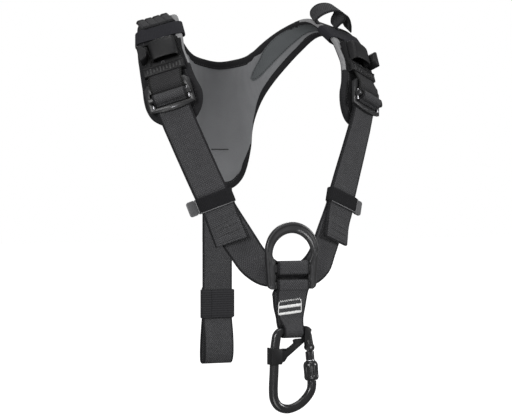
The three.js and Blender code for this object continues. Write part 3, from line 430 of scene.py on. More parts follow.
yoke_binding = sweep("yoke_edge_binding", binding_rings, binding_u, closed=True, marked=sheen_strip_shows)
# The binding's second finish is a painted sheen, lighter than the tape.
sheen_strip, sheen_strip_shader = finish_of("painted sheen strip", 0.9, sheen=0.03, specular=0.1)
sheen_strip_place = add(sheen_strip, "ShaderNodeTexCoord").outputs["Object"]
sheen_strip_cells = add(sheen_strip, "ShaderNodeTexNoise", {"Vector": sheen_strip_place, "Scale": 500.0, "Detail": 3.0})
toned(sheen_strip, sheen_strip_shader, sheen_strip_cells.outputs[0], (0.1, 0.1, 0.103), (0.22, 0.22, 0.223))
bumped(sheen_strip, sheen_strip_shader, sheen_strip_cells.outputs[0], 0.15)
yoke_binding.data.materials.append(binding_tape)
yoke_binding.data.materials.append(sheen_strip)
fasten(yoke_binding, None, replaced=["yoke_binding"], smooth=60)


def joined(parts, name):
    """One piece out of several, which keeps the first one's frame."""
    pick(parts[0])
    for part in parts:
        part.select_set(True)
    bpy.ops.object.join()
    return named(bpy.context.object, name)


def sewn(name, places, facings, pitch, length, width, material):
    """A row of separate stitches of thread along places, each laid on the cloth that faces that way."""
    bpy.ops.mesh.primitive_uv_sphere_add(segments=6, ring_count=4, radius=0.5)
    thread = bpy.context.object
    reach = [0.0]
    for p, q in zip(places, places[1:]):
        reach.append(reach[-1] + (q - p).length)
    count = max(1, int(reach[-1] / pitch))
    stitches, i = [], 0
    for k in range(count):
        place = (k + 0.5) * reach[-1] / count
        while i < len(reach) - 2 and reach[i + 1] < place:
            i += 1
        f = (place - reach[i]) / max(reach[i + 1] - reach[i], 1e-6)
        along = (places[i + 1] - places[i]).normalized()
        facing = facings[i].lerp(facings[i + 1], f)
        side = facing.cross(along).normalized()
        facing = along.cross(side)
        turn = Matrix((along, side, facing)).transposed().to_4x4()
        size = Matrix.Diagonal((length * MM, width * MM, width * MM, 1))
        middle = Matrix.Translation(places[i].lerp(places[i + 1], f) * MM)
        stitch = thread.copy()
        stitch.data = thread.data.copy()
        stitch.data.transform(middle @ turn @ size)
        bpy.context.collection.objects.link(stitch)
        stitches.append(stitch)
    bpy.data.objects.remove(thread, do_unlink=True)
    return fasten(joined(stitches, name), material, smooth=80)


def threaded(name, colour, light):
    """Bonded thread: a fine twist over one colour."""
    made, shader = finish_of(name, 0.6, sheen=0.03, specular=0.25)
    place = add(made, "ShaderNodeTexCoord").outputs["Object"]
    twist = add(made, "ShaderNodeTexNoise", {"Vector": place, "Scale": 1500.0, "Detail": 1.0})
    toned(made, shader, twist.outputs[0], colour, light)
    bumped(made, shader, twist.outputs[0], 0.05)
    return made


black_thread = threaded("black thread", (0.004, 0.004, 0.004), (0.02, 0.02, 0.02))
grey_thread = threaded("grey thread", (0.03, 0.03, 0.03), (0.09, 0.09, 0.09))
for label, column, lift in (("inner", 2, -1), ("outer", 12, 1)):
    seam = [ring[column] for ring in binding_rings]
    sewn("binding_seam_" + label, seam, [n * lift for p, n in rim], 3.4, 2.4, 0.5, grey_thread)

# Shoulder bands
# Elastic bands sewn round the arms in front of the shoulder's top, which keep the loops down.


def between_rows(rows, normals, k):
    """The two edges of a band of rows and its outward direction, at a row number with a fraction."""
    i = min(int(k), len(rows) - 2)
    f = k - i
    a, b = (rows[i][edge].lerp(rows[i + 1][edge], f) for edge in (0, 1))
    return a, b, normals[i].lerp(normals[i + 1], f).normalized()


def on_arm(row, share, lift):
    """A place on the wearer's left arm: a row, a share of the width and a height over the inner face."""
    a, b, n = between_rows(yoke_rows, yoke_normals, CENTRE_ROW + row)
    return a.lerp(b, share) + n * lift


EDGE_ROUND = 0.7


def ribbon(name, rows, steps=4, across=8, closed=False):
    """Webbing along rows of two edge points and a thickness, with rounded selvedges."""
    if closed:
        rows = rows[-2:] + rows + rows[:3]
    a = curve_through([r[0] for r in rows], steps)
    b = curve_through([r[1] for r in rows], steps)
    t = [
        rows[i][2] + (rows[i + 1][2] - rows[i][2]) * k / steps
        for i in range(len(rows) - 1)
        for k in range(steps)
    ]
    t.append(rows[-1][2])
    if closed:
        a, b, t = a[2 * steps : -3 * steps], b[2 * steps : -3 * steps], t[2 * steps : -3 * steps]
    pairs = list(zip(a, b))
    rings, width = [], (pairs[0][1] - pairs[0][0]).length
    for i, (p, q) in enumerate(pairs):
        last = len(pairs) - 1
        before = pairs[i - 1] if closed or i else pairs[0]
        after = pairs[(i + 1) % len(pairs)] if closed else pairs[min(i + 1, last)]
        along = after[0] + after[1] - before[0] - before[1]
        n = (q - p).cross(along).normalized()
        out = (q - p).normalized()
        wide = (q - p).length
        low, high = [], []
        for k in range(across + 1):
            reach = EDGE_ROUND + (wide - 2 * EDGE_ROUND) * k / across
            low.append(p + out * reach - n * t[i] / 2)
            high.append(p + out * reach + n * t[i] / 2)
        edge_low = [p - n * t[i] / 4, p + n * t[i] / 4]
        edge_high = [q - n * t[i] / 4, q + n * t[i] / 4]
        rings.append([edge_low[0], *low, edge_high[0], edge_high[1], *reversed(high), edge_low[1]])
    side = [width * (k / across - 0.5) for k in range(across + 1)]
    around = [-width / 2, *side, width / 2, width / 2, *reversed(side), -width / 2, -width / 2]
    return sweep(name, rings, around, closed)


def cut_length(rows, closed=False):
    """The length of webbing along the middle of its rows, in metres."""
    middles = [(a + b) / 2 for a, b, t in rows]
    middles += middles[:1] if closed else []
    return sum((q - p).length for p, q in zip(middles, middles[1:])) * MM


def elastic(name, dark, light, width):
    """Woven elastic: fine ribs along the band and rows of picks across it."""
    made, shader = finish_of(name, 0.86, sheen=0.02, specular=0.12)
    across, along = woven_axes(made)[:2]
    height = raised(made, wave(made, across, width / 12), wave(made, along, 2.2), 0.5)
    toned(made, shader, height, dark, light)
    bumped(made, shader, height, 0.2)
    return made


band_elastic = elastic("shoulder elastic", (0.006, 0.006, 0.0075), (0.016, 0.016, 0.019), 30)
BAND_ROWS = (12.8, 13.85)
BAND_PATH = [
    (0.05, -1.6),
    (0.5, -1.9),
    (0.95, -1.6),
    (1.02, 1),
    (1.028, 4),
    (1.02, 7.5),
    (0.95, 9.9),
    (0.5, 10.2),
    (0.05, 9.9),
    (-0.04, 7.5),
    (-0.05, 4),
    (-0.04, 1),
]
band_rows = [
    (on_arm(BAND_ROWS[0], share, lift), on_arm(BAND_ROWS[1], share, lift), 1.8)
    for share, lift in BAND_PATH
]
bands = pair_of(
    ribbon("shoulder_elastic_left", band_rows, closed=True), band_elastic, "shoulder_band"
)
for band in bands:
    cut_length(band_rows, True)

# Shoulder patches
# A smoother patch lines each arm's inner face where it bears on the shoulder, sewn down along both edges.
PATCH_EDGES = [
    (4.9, 0.3, 0.3),
    (5.6, 0.27, 0.4),
    (6.9, 0.24, 0.54),
    (7.5, 0.21, 0.58),
    (8.1, 0.16, 0.61),
    (8.8, 0.12, 0.62),
    (9.5, 0.1, 0.62),
    (10.3, 0.1, 0.61),
    (11.4, 0.1, 0.54),
    (12.6, 0.1, 0.5),
    (14, 0.12, 0.5),
    (15.4, 0.16, 0.5),
]
PATCH_ACROSS = 8


def on_pad(row, share, lift):
    """A place on the inner face of the wearer's left arm, lifted towards the wearer, and its facing."""
    a, b, n = between_rows(fine_rows, fine_normals, (CENTRE_ROW + row) * YOKE_STEPS)
    crown = PAD_CROWN * (1 - abs(2 * share - 1) ** 5)
    return a.lerp(b, share) + n * (BIND_T + GAP - crown - lift), -n


patch_points = curve_through([Vector(r) for r in PATCH_EDGES], 3)
patch_rings = []
for row, low, high in patch_points:
    shares = [low + (high - low) * k / PATCH_ACROSS for k in range(PATCH_ACROSS + 1)]
    face, under = ([on_pad(row, share, lift)[0] for share in shares] for lift in (0.7, -0.2))
    patch_rings.append(face + under[::-1])
patch_u = [4.0 * k for k in range(PATCH_ACROSS + 1)]
patch_knit = knitted("patch knit", (0.058, 0.062, 0.065), (0.105, 0.112, 0.115))
patch_left = sweep("shoulder_patch_left", patch_rings, patch_u + patch_u[::-1] + patch_u[:1])
patches = pair_of(patch_left, patch_knit)
for label, edge, inset in (("neck", 1, 0.03), ("arm", 2, -0.03)):
    seam = [on_pad(p[0], p[edge] + inset, 0.75) for p in patch_points[2:]]
    places, facings = zip(*seam)
    row_left = sewn("patch_seam_" + label, places, facings, 3.6, 2.6, 0.75, black_thread)
    fasten(mirrored(row_left, "patch_seam_" + label + "_right"), black_thread)
slit = [on_pad(-0.3 + 0.05 * k, 0.685, 0.1)[0] for k in range(2)]
slit_z = (slit[0].z + slit[1].z) / 2
slit_places = [Vector((x, -0.15, slit_z)) for x in range(-13, 14)]
sewn("back_tack", slit_places, [Vector((0, -1, 0))] * len(slit_places), 1.1, 1.9, 1.5, black_thread)

# Buckle frames
# Pressed light-alloy frames with a bowed lower bar, coated black, one on each front strap.
LAYER = 2.5
BUCKLE_W = 62
BUCKLE_H = 40
BUCKLE_T = 4
BUCKLE_SIDE = 5.5
BUCKLE_HEAD = 12
BUCKLE_CANT = 0.285
BAR_TOP = 7.5
SLIDE_BAR = 7
SLIDE_UP = BAR_TOP + 10.5
SLIDE_OUT = BUCKLE_T / 2 + GAP + SLIDE_BAR / 2
WEB = 45
WEB_T = 2.2


class Place:
    """A local frame: w across, u up and n out."""

    def __init__(self, origin, across, up):
        self.o = origin
        self.w = across.normalized()
        self.u = (up - self.w * up.dot(self.w)).normalized()
        self.n = self.w.cross(self.u)

    def at(self, w, u, n):
        return self.o + self.w * w + self.u * u + self.n * n

    def matrix(self):
        """From millimetres in this frame to metres in the harness's."""
        turn = Matrix((self.w, self.u, self.n)).transposed().to_4x4()
        return Matrix.Translation(self.o * MM) @ turn @ Matrix.Scale(MM, 4)


buckle_foot = on_arm(20, 0.477, 18.4)
buckle_head = on_arm(17.35, 0.53, PANEL_T + BUCKLE_T / 2 + 2 * LAYER)
arm_across = (on_arm(20, 1, 0) - on_arm(20, 0, 0)).normalized()
buckle = Place(buckle_foot, arm_across - Vector((0, 0, BUCKLE_CANT)), buckle_head - buckle_foot)


def coated(name, colour, light, roughness, metallic=0.0, grain=0.03, specular=0.4):
    """Coated or moulded hard surface with a fine grain and a cloudy tone."""
    made, shader = finish_of(name, roughness, metallic, specular=specular)
    place = add(made, "ShaderNodeTexCoord").outputs["Object"]
    cloud = add(made, "ShaderNodeTexNoise", {"Vector": place, "Scale": 60.0, "Detail": 3.0})
    toned(made, shader, cloud.outputs[0], colour, light)
    fine = add(made, "ShaderNodeTexNoise", {"Vector": place, "Scale": 1800.0, "Detail": 2.0})
    rough = add(made, "ShaderNodeMapRange", {0: fine.outputs[0], 3: roughness - 0.06, 4: roughness + 0.1})
    made.node_tree.links.new(rough.outputs[0], shader.inputs["Roughness"])
    bumped(made, shader, fine.outputs[0], grain)
    return made


def copy_of(node, name):
    """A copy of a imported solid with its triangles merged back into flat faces."""
    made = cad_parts[node].copy()
    made.data = made.data.copy()
    named(made, name)
    made.parent = None
    for key in list(made.keys()):
        del made[key]
    bpy.context.collection.objects.link(made)
    pick(made)
    bpy.ops.object.mode_set(mode="EDIT")
    bpy.ops.mesh.select_all(action="SELECT")
    bpy.ops.mesh.remove_doubles(threshold=2e-6)
    bpy.ops.mesh.dissolve_limited(angle_limit=math.radians(1.5))
    bpy.ops.object.mode_set(mode="OBJECT")
    return made


def bevelled(made, width, segments=3, angle=28, finishes=()):
    """Rounds a piece's sharp edges by a bevel that is applied. A second finish goes on the bevels."""
    pick(made)
    bevel = made.modifiers.new("edges", "BEVEL")
    if finishes:
        made.data.materials.clear()
        for finish in finishes:
            made.data.materials.append(finish)
        bevel.material = len(finishes) - 1
    bevel.width = width * MM
    bevel.segments = segments
    bevel.limit_method = "ANGLE"
    bevel.angle_limit = math.radians(angle)
    bpy.ops.object.modifier_apply(modifier=bevel.name)
    return made


black_coat = coated("black coat", (0.009, 0.009, 0.0095), (0.022, 0.022, 0.023), 0.34, specular=0.28)
# The lighter coat on the bevels is partly edge wear and partly a painted highlight along the edges.
rubbed_and_glinting_coat = coated("rubbed coat with painted highlight", (0.05, 0.05, 0.053), (0.13, 0.13, 0.136), 0.28, metallic=0.4)
for side in ("left", "right"):
    for node, name, width, segments in (
        ("buckle_frame_", "buckle_plate_", 0.45, 2),
        ("slide_bar_", "sliding_bar_", 0.5, 3),
    ):
        made = copy_of(node + side, name + side)
        bevelled(made, width, segments, finishes=[black_coat, rubbed_and_glinting_coat])
        fasten(made, None, replaced=[node + side])

# Buckle guides
# A bright pin beside the roll of webbing on each side rail, which keeps the sliding bar in its place.
buckle_inside = -BUCKLE_W / 2 + BUCKLE_SIDE + 1.1
pin_steel = coated("guide steel", (0.25, 0.25, 0.26), (0.5, 0.5, 0.52), 0.3, metallic=0.7, grain=0.005)
for label, w, low, high in (("inner", buckle_inside, 9.5, 25), ("outer", -buckle_inside, 6.5, 12)):
    bpy.ops.mesh.primitive_cylinder_add(vertices=16, radius=1.15, depth=high - low)
    guide = named(bpy.context.object, "buckle_guide_" + label)
    upright = Matrix.Rotation(math.pi / 2, 4, "X")
    guide.data.transform(buckle.matrix() @ Matrix.Translation((w, (low + high) / 2, 3.4)) @ upright)
    pair_of(bevelled(guide, 0.5), pin_steel)
# A lighter strip on the front of each lower bar: a painted highlight.
bpy.ops.mesh.primitive_cube_add(size=1)
mark = named(bpy.context.object, "buckle_mark_left")
highlight_place = Matrix.Translation((-2, 3.2, BUCKLE_T / 2 + 0.1))
mark.data.transform(buckle.matrix() @ highlight_place @ Matrix.Diagonal((8, 1.5, 0.7, 1)))
pair_of(bevelled(mark, 0.25), rubbed_and_glinting_coat)

# Anchor webbing
# Load webbing sewn to the panel under the pocket, which goes over the buckle's upper bar and back.


def woven(name, dark, light, selvedge, width):
    """Load webbing: crossed twills over picks, with plain darker selvedges and rubbed, uneven dye."""
    made, shader = finish_of(name, 0.74, sheen=0.03, specular=0.16)
    across, along = woven_axes(made)[:2]
    twills = [wave(made, raised(made, across, along, lean), 3.1) for lean in (0.9, -0.9)]
    crossing = maths(made, "MULTIPLY", *twills)
    picks = maths(made, "MULTIPLY", wave(made, along, 2.0), 0.25)
    height = raised(made, picks, crossing, 1.9)
    place = add(made, "ShaderNodeTexCoord").outputs["Object"]
    cloud = add(made, "ShaderNodeTexNoise", {"Vector": place, "Scale": 55.0, "Detail": 5.0})
    fuzz = add(made, "ShaderNodeTexNoise", {"Vector": place, "Scale": 420.0, "Detail": 2.0})
    uneven = maths(made, "ADD", cloud.outputs[0], maths(made, "MULTIPLY", fuzz.outputs[0], 0.8))
    tone = raised(made, maths(made, "MULTIPLY", uneven, 0.28), height, 0.6)
    reach = maths(made, "ABSOLUTE", across)
    edge = {0: reach, 1: (width / 2 - 2.4) * MM, 2: (width / 2 - 1.4) * MM}
    rim_share = add(made, "ShaderNodeMapRange", edge).outputs[0]
    layers = {0: rim_share, 6: colour_between(made, tone, dark, light), 7: (*selvedge, 1)}
    mix = add(made, "ShaderNodeMix", layers, data_type="RGBA")
    made.node_tree.links.new(mix.outputs[2], shader.inputs["Base Color"])
    bumped(made, shader, height, 0.35)
    return made


load_webbing = woven("load webbing", (0.008, 0.008, 0.009), (0.062, 0.062, 0.065), (0.009, 0.009, 0.01), WEB)


def buckle_row(u, n, t=WEB_T):
    return (buckle.at(-WEB / 2, u, n), buckle.at(WEB / 2, u, n), t)


def turn(up, out, reach_up, reach_out, start, end, count):
    """Rows of webbing round a bar in the buckle's side view, by angle from the front towards the top."""
    angles = [math.pi * (start + (end - start) * i / count) for i in range(count + 1)]
    return [buckle_row(up + reach_up * math.sin(x), out + reach_out * math.cos(x)) for x in angles]


def pad_row(row, lift):
    middle = on_arm(row, 0.5, lift)
    return (middle - buckle.w * WEB / 2, middle + buckle.w * WEB / 2, WEB_T)


anchor_rows = [pad_row(16.3, PANEL_T + GAP + LAYER)]
anchor_rows += turn(
    BUCKLE_H - BUCKLE_HEAD / 2,
    0,
    BUCKLE_HEAD / 2 + GAP + 1.05 * WEB_T,
    BUCKLE_T / 2 + GAP + 1.15 * WEB_T,
    0.35,
    -1.15,
    10,
)
anchor_left = ribbon("anchor_strap_left", anchor_rows, steps=3)
# A darker copy of the load webbing: painted shade where the anchor strap lies under the pocket.
anchor_webbing = woven(
    "anchor webbing", (0.005, 0.005, 0.0055), (0.03, 0.03, 0.031), (0.006, 0.006, 0.006), WEB
)
for anchor in pair_of(anchor_left, anchor_webbing, "anchor_webbing"):
    cut_length(anchor_rows)

# Front straps
# Each runs up from the chest ring behind the buckle's lower bar, round the sliding bar and down again
# on itself as a tail, whose end is folded and sewn so that it can't slip out.
CHEST = 230
RING_TOP = 219
RING_T = 7
TAIL_T = 4.6
# Rows of the two edges as shares of the span from the ring to the buckle: out, back and up
STRAP_ROWS = [
    ((0.545, 0.526, 0.517), (0.84, 0.716, 0.442)),
    ((0.495, 0.438, 0.437), (0.782, 0.628, 0.352)),
    ((0.363, 0.265, 0.28), (0.678, 0.52, 0.229)),
    ((0.245, 0.109, 0.143), (0.558, 0.333, 0.09)),
    ((0.203, 0.07, 0.106), (0.455, 0.171, -0.016)),
    ((0.152, 0.035, 0.075), (0.291, 0.061, -0.088)),
    ((0.073, 0, 0.042), (0.102, 0, -0.101)),
    ((0.003, 0, 0.022), (0.003, 0, -0.101)),
]
TAIL_ROWS = [
    ((0.468, 0.325, 0.36), (0.742, 0.53, 0.265)),
    ((0.404, 0.13, 0.216), (0.694, 0.395, 0.146)),
]
strap_high = buckle.at(0, 0, -BUCKLE_T / 2 - 1.6 * LAYER)
strap_low = Vector((0, -(CHEST - RING_T / 2 - 2 * GAP - 1.5 * WEB_T), -(RING_TOP + 64)))
strap_span = strap_high - strap_low


def on_strap(share):
    return strap_low + Vector(share) * strap_span


strap_rows = [(on_strap(a), on_strap(b), WEB_T) for a, b in STRAP_ROWS]
slide_turn = SLIDE_BAR / 2 + GAP + 0.8 + WEB_T / 2
strap_below = [
    buckle_row(SLIDE_UP - 3, -BUCKLE_T / 2 - 0.6 * LAYER),
    buckle_row(BAR_TOP + 2, -BUCKLE_T / 2 - 1.6 * LAYER),
    buckle_row(0, -BUCKLE_T / 2 - 1.6 * LAYER),
]
strap_roll = turn(SLIDE_UP, SLIDE_OUT, slide_turn, slide_turn, -0.55, 0.9, 9)
tail_below = [
    buckle_row(0, -BUCKLE_T / 2 - 0.6 * LAYER),
    buckle_row(BAR_TOP, -BUCKLE_T / 2 - 0.6 * LAYER),
    buckle_row(BAR_TOP + 2.4, -BUCKLE_T / 2 + 0.4),
    buckle_row(BAR_TOP + 2.8, BUCKLE_T / 2 - 0.2),
]
strap_out = (strap_rows[0][1] - strap_rows[0][0]).cross(strap_span).normalized()


def over_strap(row, lift, t):
    return (row[0] + strap_out * lift, row[1] + strap_out * lift, t)


tail_up = [
    over_strap(strap_rows[1], (WEB_T + TAIL_T) / 2 + GAP, TAIL_T),
    over_strap(strap_rows[0], LAYER, WEB_T),
]
tail_end = [(on_strap(a), on_strap(b), TAIL_T) for a, b in reversed(TAIL_ROWS)]
strap_path = [*tail_end, *tail_up, *tail_below, *strap_roll, *strap_below, *strap_rows]
strap_left = ribbon("front_webbing_left", strap_path, steps=4)
straps = pair_of(strap_left, load_webbing, "front_strap")
for strap, side in zip(straps, ("left", "right")):
    cut_length(strap_path)

# Tail hems
# The tail's end is folded twice, with a flap on its front that is sewn down in three rows.
hem_high, hem_low = tail_end[1], tail_end[0]
HEM_INSET = 2.2
HEM_T = 1.3


def across_tail(f):
    """The tail's two edges at a share of the way down its end."""
    return hem_high[0].lerp(hem_low[0], f), hem_high[1].lerp(hem_low[1], f)


hem_rows = []
for f in (0.12, 0.2, 0.5, 0.85, 0.98):
    a, b = across_tail(f)
    inset = (b - a).normalized() * HEM_INSET
    lift = strap_out * (TAIL_T / 2 + 0.55 - (0.5 if f < 0.15 else 0))
    hem_rows.append((a + inset + lift, b - inset + lift, HEM_T))
hems = pair_of(ribbon("tail_hem_left", hem_rows, steps=3), load_webbing)
for hem, side in zip(hems, ("left", "right")):
    hem_flat = ((WEB - 2 * HEM_INSET) * MM, cut_length(hem_rows))
for label, f in (("high", 0.3), ("middle", 0.58), ("low", 0.88)):
    a, b = across_tail(f)
    ends = [a.lerp(b, s) + strap_out * (TAIL_T / 2 + 1.25) for s in (0.14, 0.5, 0.86)]
    hem_seam = sewn("hem_seam_" + label, ends, [strap_out] * 3, 2.2, 1.9, 1.0, black_thread)
    fasten(mirrored(hem_seam, "hem_seam_" + label + "_right"), black_thread)

# Keepers
# Elastic loops that hold each tail down on its strap, with a moulded tab to slide them by.
KEEPER_H = 19
keeper_middle = (strap_rows[0][0] + strap_rows[0][1] + strap_rows[1][0] + strap_rows[1][1]) / 4
keeper = Place(
    keeper_middle, strap_rows[0][1] - strap_rows[0][0], strap_rows[0][0] - strap_rows[1][0]
)
KEEPER_BACK = -WEB_T / 2 - 3 * GAP - 0.9
KEEPER_FRONT = WEB_T / 2 + TAIL_T + 4 * GAP + 0.9
KEEPER_HALF = WEB / 2 + 3 * GAP + 0.9
KEEPER_PATH = [
    (-KEEPER_HALF + 3, KEEPER_BACK),
    (0, KEEPER_BACK - 0.2),
    (KEEPER_HALF - 3, KEEPER_BACK),
    (KEEPER_HALF, KEEPER_BACK + 2),
    (KEEPER_HALF, KEEPER_FRONT - 2),
    (KEEPER_HALF - 3, KEEPER_FRONT),
    (0, KEEPER_FRONT + 0.3),
    (-KEEPER_HALF + 3, KEEPER_FRONT),
    (-KEEPER_HALF, KEEPER_FRONT - 2),
    (-KEEPER_HALF, KEEPER_BACK + 2),
]
keeper_rows = [
    (keeper.at(w, -KEEPER_H / 2, n), keeper.at(w, KEEPER_H / 2, n), 1.8) for w, n in KEEPER_PATH
]
keeper_elastic = elastic("keeper elastic", (0.004, 0.004, 0.0045), (0.01, 0.01, 0.011), KEEPER_H)
keeper_left = ribbon("keeper_loop_left", keeper_rows, closed=True, across=6)
keepers = pair_of(keeper_left, keeper_elastic, "keeper")
for band, side in zip(keepers, ("left", "right")):
    keeper_flat = (KEEPER_H * MM, cut_length(keeper_rows, True))
grey_nylon = coated(
    "grey nylon", (0.045, 0.045, 0.047), (0.085, 0.085, 0.088), 0.55, grain=0.05, specular=0.2
)
# The lighter nylon on the tab's bevels and on the keeper's lip and rail is partly wear and partly a painted
# highlight.
rubbed_and_glinting_nylon = coated("rubbed nylon with painted highlight", (0.08, 0.08, 0.083), (0.15, 0.15, 0.153), 0.5, specular=0.25)
for side in ("left", "right"):
    tab = copy_of("keeper_tab_" + side, "keeper_pull_" + side)
    bevelled(tab, 0.8, finishes=[grey_nylon, rubbed_and_glinting_nylon])
    fasten(tab, None, replaced=["keeper_tab_" + side])

outwards = math.copysign(1, keeper.w.x)
LIP_PATH = [
    (-KEEPER_HALF + 2.5, -KEEPER_H / 2 - 0.5, KEEPER_FRONT + 0.1),
    (0, -KEEPER_H / 2 - 0.6, KEEPER_FRONT + 0.4),
    (KEEPER_HALF - 1, -KEEPER_H / 2 - 0.5, KEEPER_FRONT + 0.1),
]
RAIL_PATH = [
    (KEEPER_HALF + 0.9, -KEEPER_H / 2 - 0.4, KEEPER_FRONT - 0.7),
    (KEEPER_HALF + 0.9, KEEPER_H / 2 + 0.2, KEEPER_FRONT - 0.7),
]
for name, path, wide in (("keeper_lip", LIP_PATH, keeper.u), ("keeper_rail", RAIL_PATH, keeper.w)):
    points = [keeper.at(w * outwards, u, n) for w, u, n in path]
    rail = ribbon(name + "_left", [(p - wide * 0.6, p + wide * 0.6, 1.2) for p in points], steps=2)
    pair_of(rail, rubbed_and_glinting_nylon)

# Connector pockets
# Nylon housings moulded in one with a base that covers the anchor webbing: a hood whose mouth opens down,
# a lip below it with a row of ribs, and an ear at the outer side for a finger.
POCKET_W = 56
POCKET_H = 48
POCKET_D = 17
POCKET_WALL = 2
POCKET_FLOOR = LAYER + 2.5
LIP_H = 13
HOOD_LOW = LIP_H + 5
HOOD_W = 36
pocket_foot = on_arm(16.75, 0.52, PANEL_T)
pocket_head = on_arm(14.2, 0.55, PANEL_T)
pocket = Place(pocket_foot, buckle.w, pocket_head - pocket_foot)
black_nylon = coated(
    "black nylon", (0.003, 0.003, 0.0035), (0.01, 0.01, 0.0105), 0.5, grain=0.06, specular=0.2
)


def cap_ring(low_w, high_w, u, depth, foot, inset, corner, crown):
    """One level of a moulded cap: up one side from the base, over the front and down the other side."""
    low_w, high_w, depth = low_w + inset, high_w - inset, depth - inset
    middle, half = (low_w + high_w) / 2, (high_w - low_w) / 2
    bend = min(corner, half * 0.9, (depth - foot) * 0.9)
    outline = [(-half, foot), (-half, (foot + depth - bend) / 2)]
    outline += [
        (-half + bend - bend * math.cos(x), depth - bend + bend * math.sin(x))
        for x in (math.pi / 2 * k / 5 for k in range(6))
    ]
    outline += [(0.4 * (k - 1) * half, depth + crown * (1 - 0.25 * abs(k - 1))) for k in range(3)]
    outline += [
        (half - bend + bend * math.sin(x), depth - bend + bend * math.cos(x))
        for x in (math.pi / 2 * k / 5 for k in range(6))
    ]
    outline += [(half, (foot + depth - bend) / 2), (half, foot)]
    return [pocket.at(middle + w, u, n) for w, n in outline]


def moulded_cap(name, low_w, high_w, low, high, depth, corner, crown=0.8, shoulder=9):
    """A hollow cap on the pocket's base, open below: its skin from the top down, in and up again."""
    rings = []
    for drop in (0, 0.8, 2.2, 4.5, shoulder):
        sink = 0.34 * depth * (1 - math.sqrt(1 - (1 - drop / shoulder) ** 2))
        pull = 2.6 * (1 - math.sqrt(1 - (1 - min(drop, 4.5) / 4.5) ** 2))
        rings.append(cap_ring(low_w + pull, high_w - pull, high - drop, depth - sink, -1, 0, corner, crown))
    for u, deep, foot, inset in (
        (low + 2, depth, -1, 0),
        (low + 0.5, depth, -1, 0.2),
        (low, depth, -1, 0.8),
        (low + 0.4, depth, 0, POCKET_WALL - 0.2),
        (low + 2, depth, 0, POCKET_WALL),
        (high - 8, depth - 3, 0, POCKET_WALL + 0.5),
    ):
        rings.append(cap_ring(low_w, high_w, u, deep, foot, inset, corner, crown))
    return sweep(name, rings, [float(k) for k in range(len(rings[0]) + 1)])


def moulded_bar(low_w, high_w, low, high, foot, top, edge):
    """A rounded bar or plate in the pocket's frame."""
    bpy.ops.mesh.primitive_cube_add(size=1)
    made = bpy.context.object
    size = Vector((high_w - low_w, high - low, top - foot))
    centre = Vector((high_w + low_w, high + low, top + foot)) / 2
    made.data.transform(Matrix.Translation(centre) @ Matrix.Diagonal((*size, 1)))
    made.data.transform(pocket.matrix())
    return bevelled(made, edge)


def pocket_base():
    """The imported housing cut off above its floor, with its upper face closed."""
    made = copy_of("connector_pocket_left", "pocket_base")
    bpy.ops.object.mode_set(mode="EDIT")
    bpy.ops.mesh.select_all(action="SELECT")
    level = pocket.at(0, 0, POCKET_FLOOR) * MM
    bpy.ops.mesh.bisect(plane_co=level, plane_no=pocket.n, use_fill=True, clear_outer=True)
    bpy.ops.object.mode_set(mode="OBJECT")
    return bevelled(made, 0.7, segments=2)


def half_disc(edge, u, radius, foot, top):
    """A flat half disc that stands up from the pocket, its straight side outwards."""
    bpy.ops.mesh.primitive_cylinder_add(vertices=48, radius=radius, depth=top - foot)
    made = bpy.context.object
    made.data.transform(Matrix.Translation((edge, u, (top + foot) / 2)))
    bpy.ops.object.mode_set(mode="EDIT")
    bpy.ops.mesh.select_all(action="SELECT")
    bpy.ops.mesh.bisect(plane_co=(edge, 0, 0), plane_no=(1, 0, 0), use_fill=True, clear_outer=True)
    bpy.ops.object.mode_set(mode="OBJECT")
    made.data.transform(pocket.matrix())
    return bevelled(made, 1.4)


half_pocket = POCKET_W / 2
lip_top = 0.5 * POCKET_D
pocket_parts = [
    pocket_base(),
    moulded_cap("hood", -half_pocket + 4, -half_pocket + 4 + HOOD_W, HOOD_LOW, POCKET_H, POCKET_D, 6, 1.0),
    half_disc(half_pocket - 1, LIP_H + 18, 11.5, 4, 1.22 * POCKET_D),
    moulded_bar(-half_pocket, half_pocket, 0, LIP_H, 0, lip_top, 1.6),
    moulded_bar(0.6 - half_pocket, half_pocket - 0.6, LIP_H - 2.2, LIP_H - 0.4, 6, lip_top + 0.8, 0.7),
    moulded_bar(2 - half_pocket, 42 - half_pocket, HOOD_LOW - 4.4, HOOD_LOW + 1, 3, POCKET_FLOOR + 0.8, 0.7),
]
RIBS = 11
rib_nylon = coated("rib nylon", (0.006, 0.006, 0.0063), (0.022, 0.022, 0.023), 0.45)
for part in pocket_parts:
    part.data.materials.clear()
    part.data.materials.append(black_nylon)
for k in range(RIBS):
    place = -half_pocket + 6 + 44 * k / (RIBS - 1)
    low, high = 1.4 + 0.8 * (5 * k % 3), LIP_H - 3.4 - 0.9 * (k % 3)
    rib = moulded_bar(place - 1.4, place + 0.9, low, high, 7, lip_top + 0.9, 0.5)
    rib.data.materials.append(rib_nylon)
    pocket_parts.append(rib)
pair_of(joined(pocket_parts, "pocket_housing_left"), None, "connector_pocket")
bpy.ops.mesh.primitive_torus_add(
    major_radius=2.1 * MM, minor_radius=0.6 * MM, major_segments=28, minor_segments=8
)
rivet = named(bpy.context.object, "pocket_rivet_left")
rivet_place = pocket.at(-1, HOOD_LOW - 2.6, POCKET_FLOOR + 0.9) * MM
rivet_turn = pocket.n.to_track_quat("Z", "Y").to_matrix().to_4x4()
rivet.data.transform(Matrix.Translation(rivet_place) @ rivet_turn)
pair_of(rivet, grey_nylon)

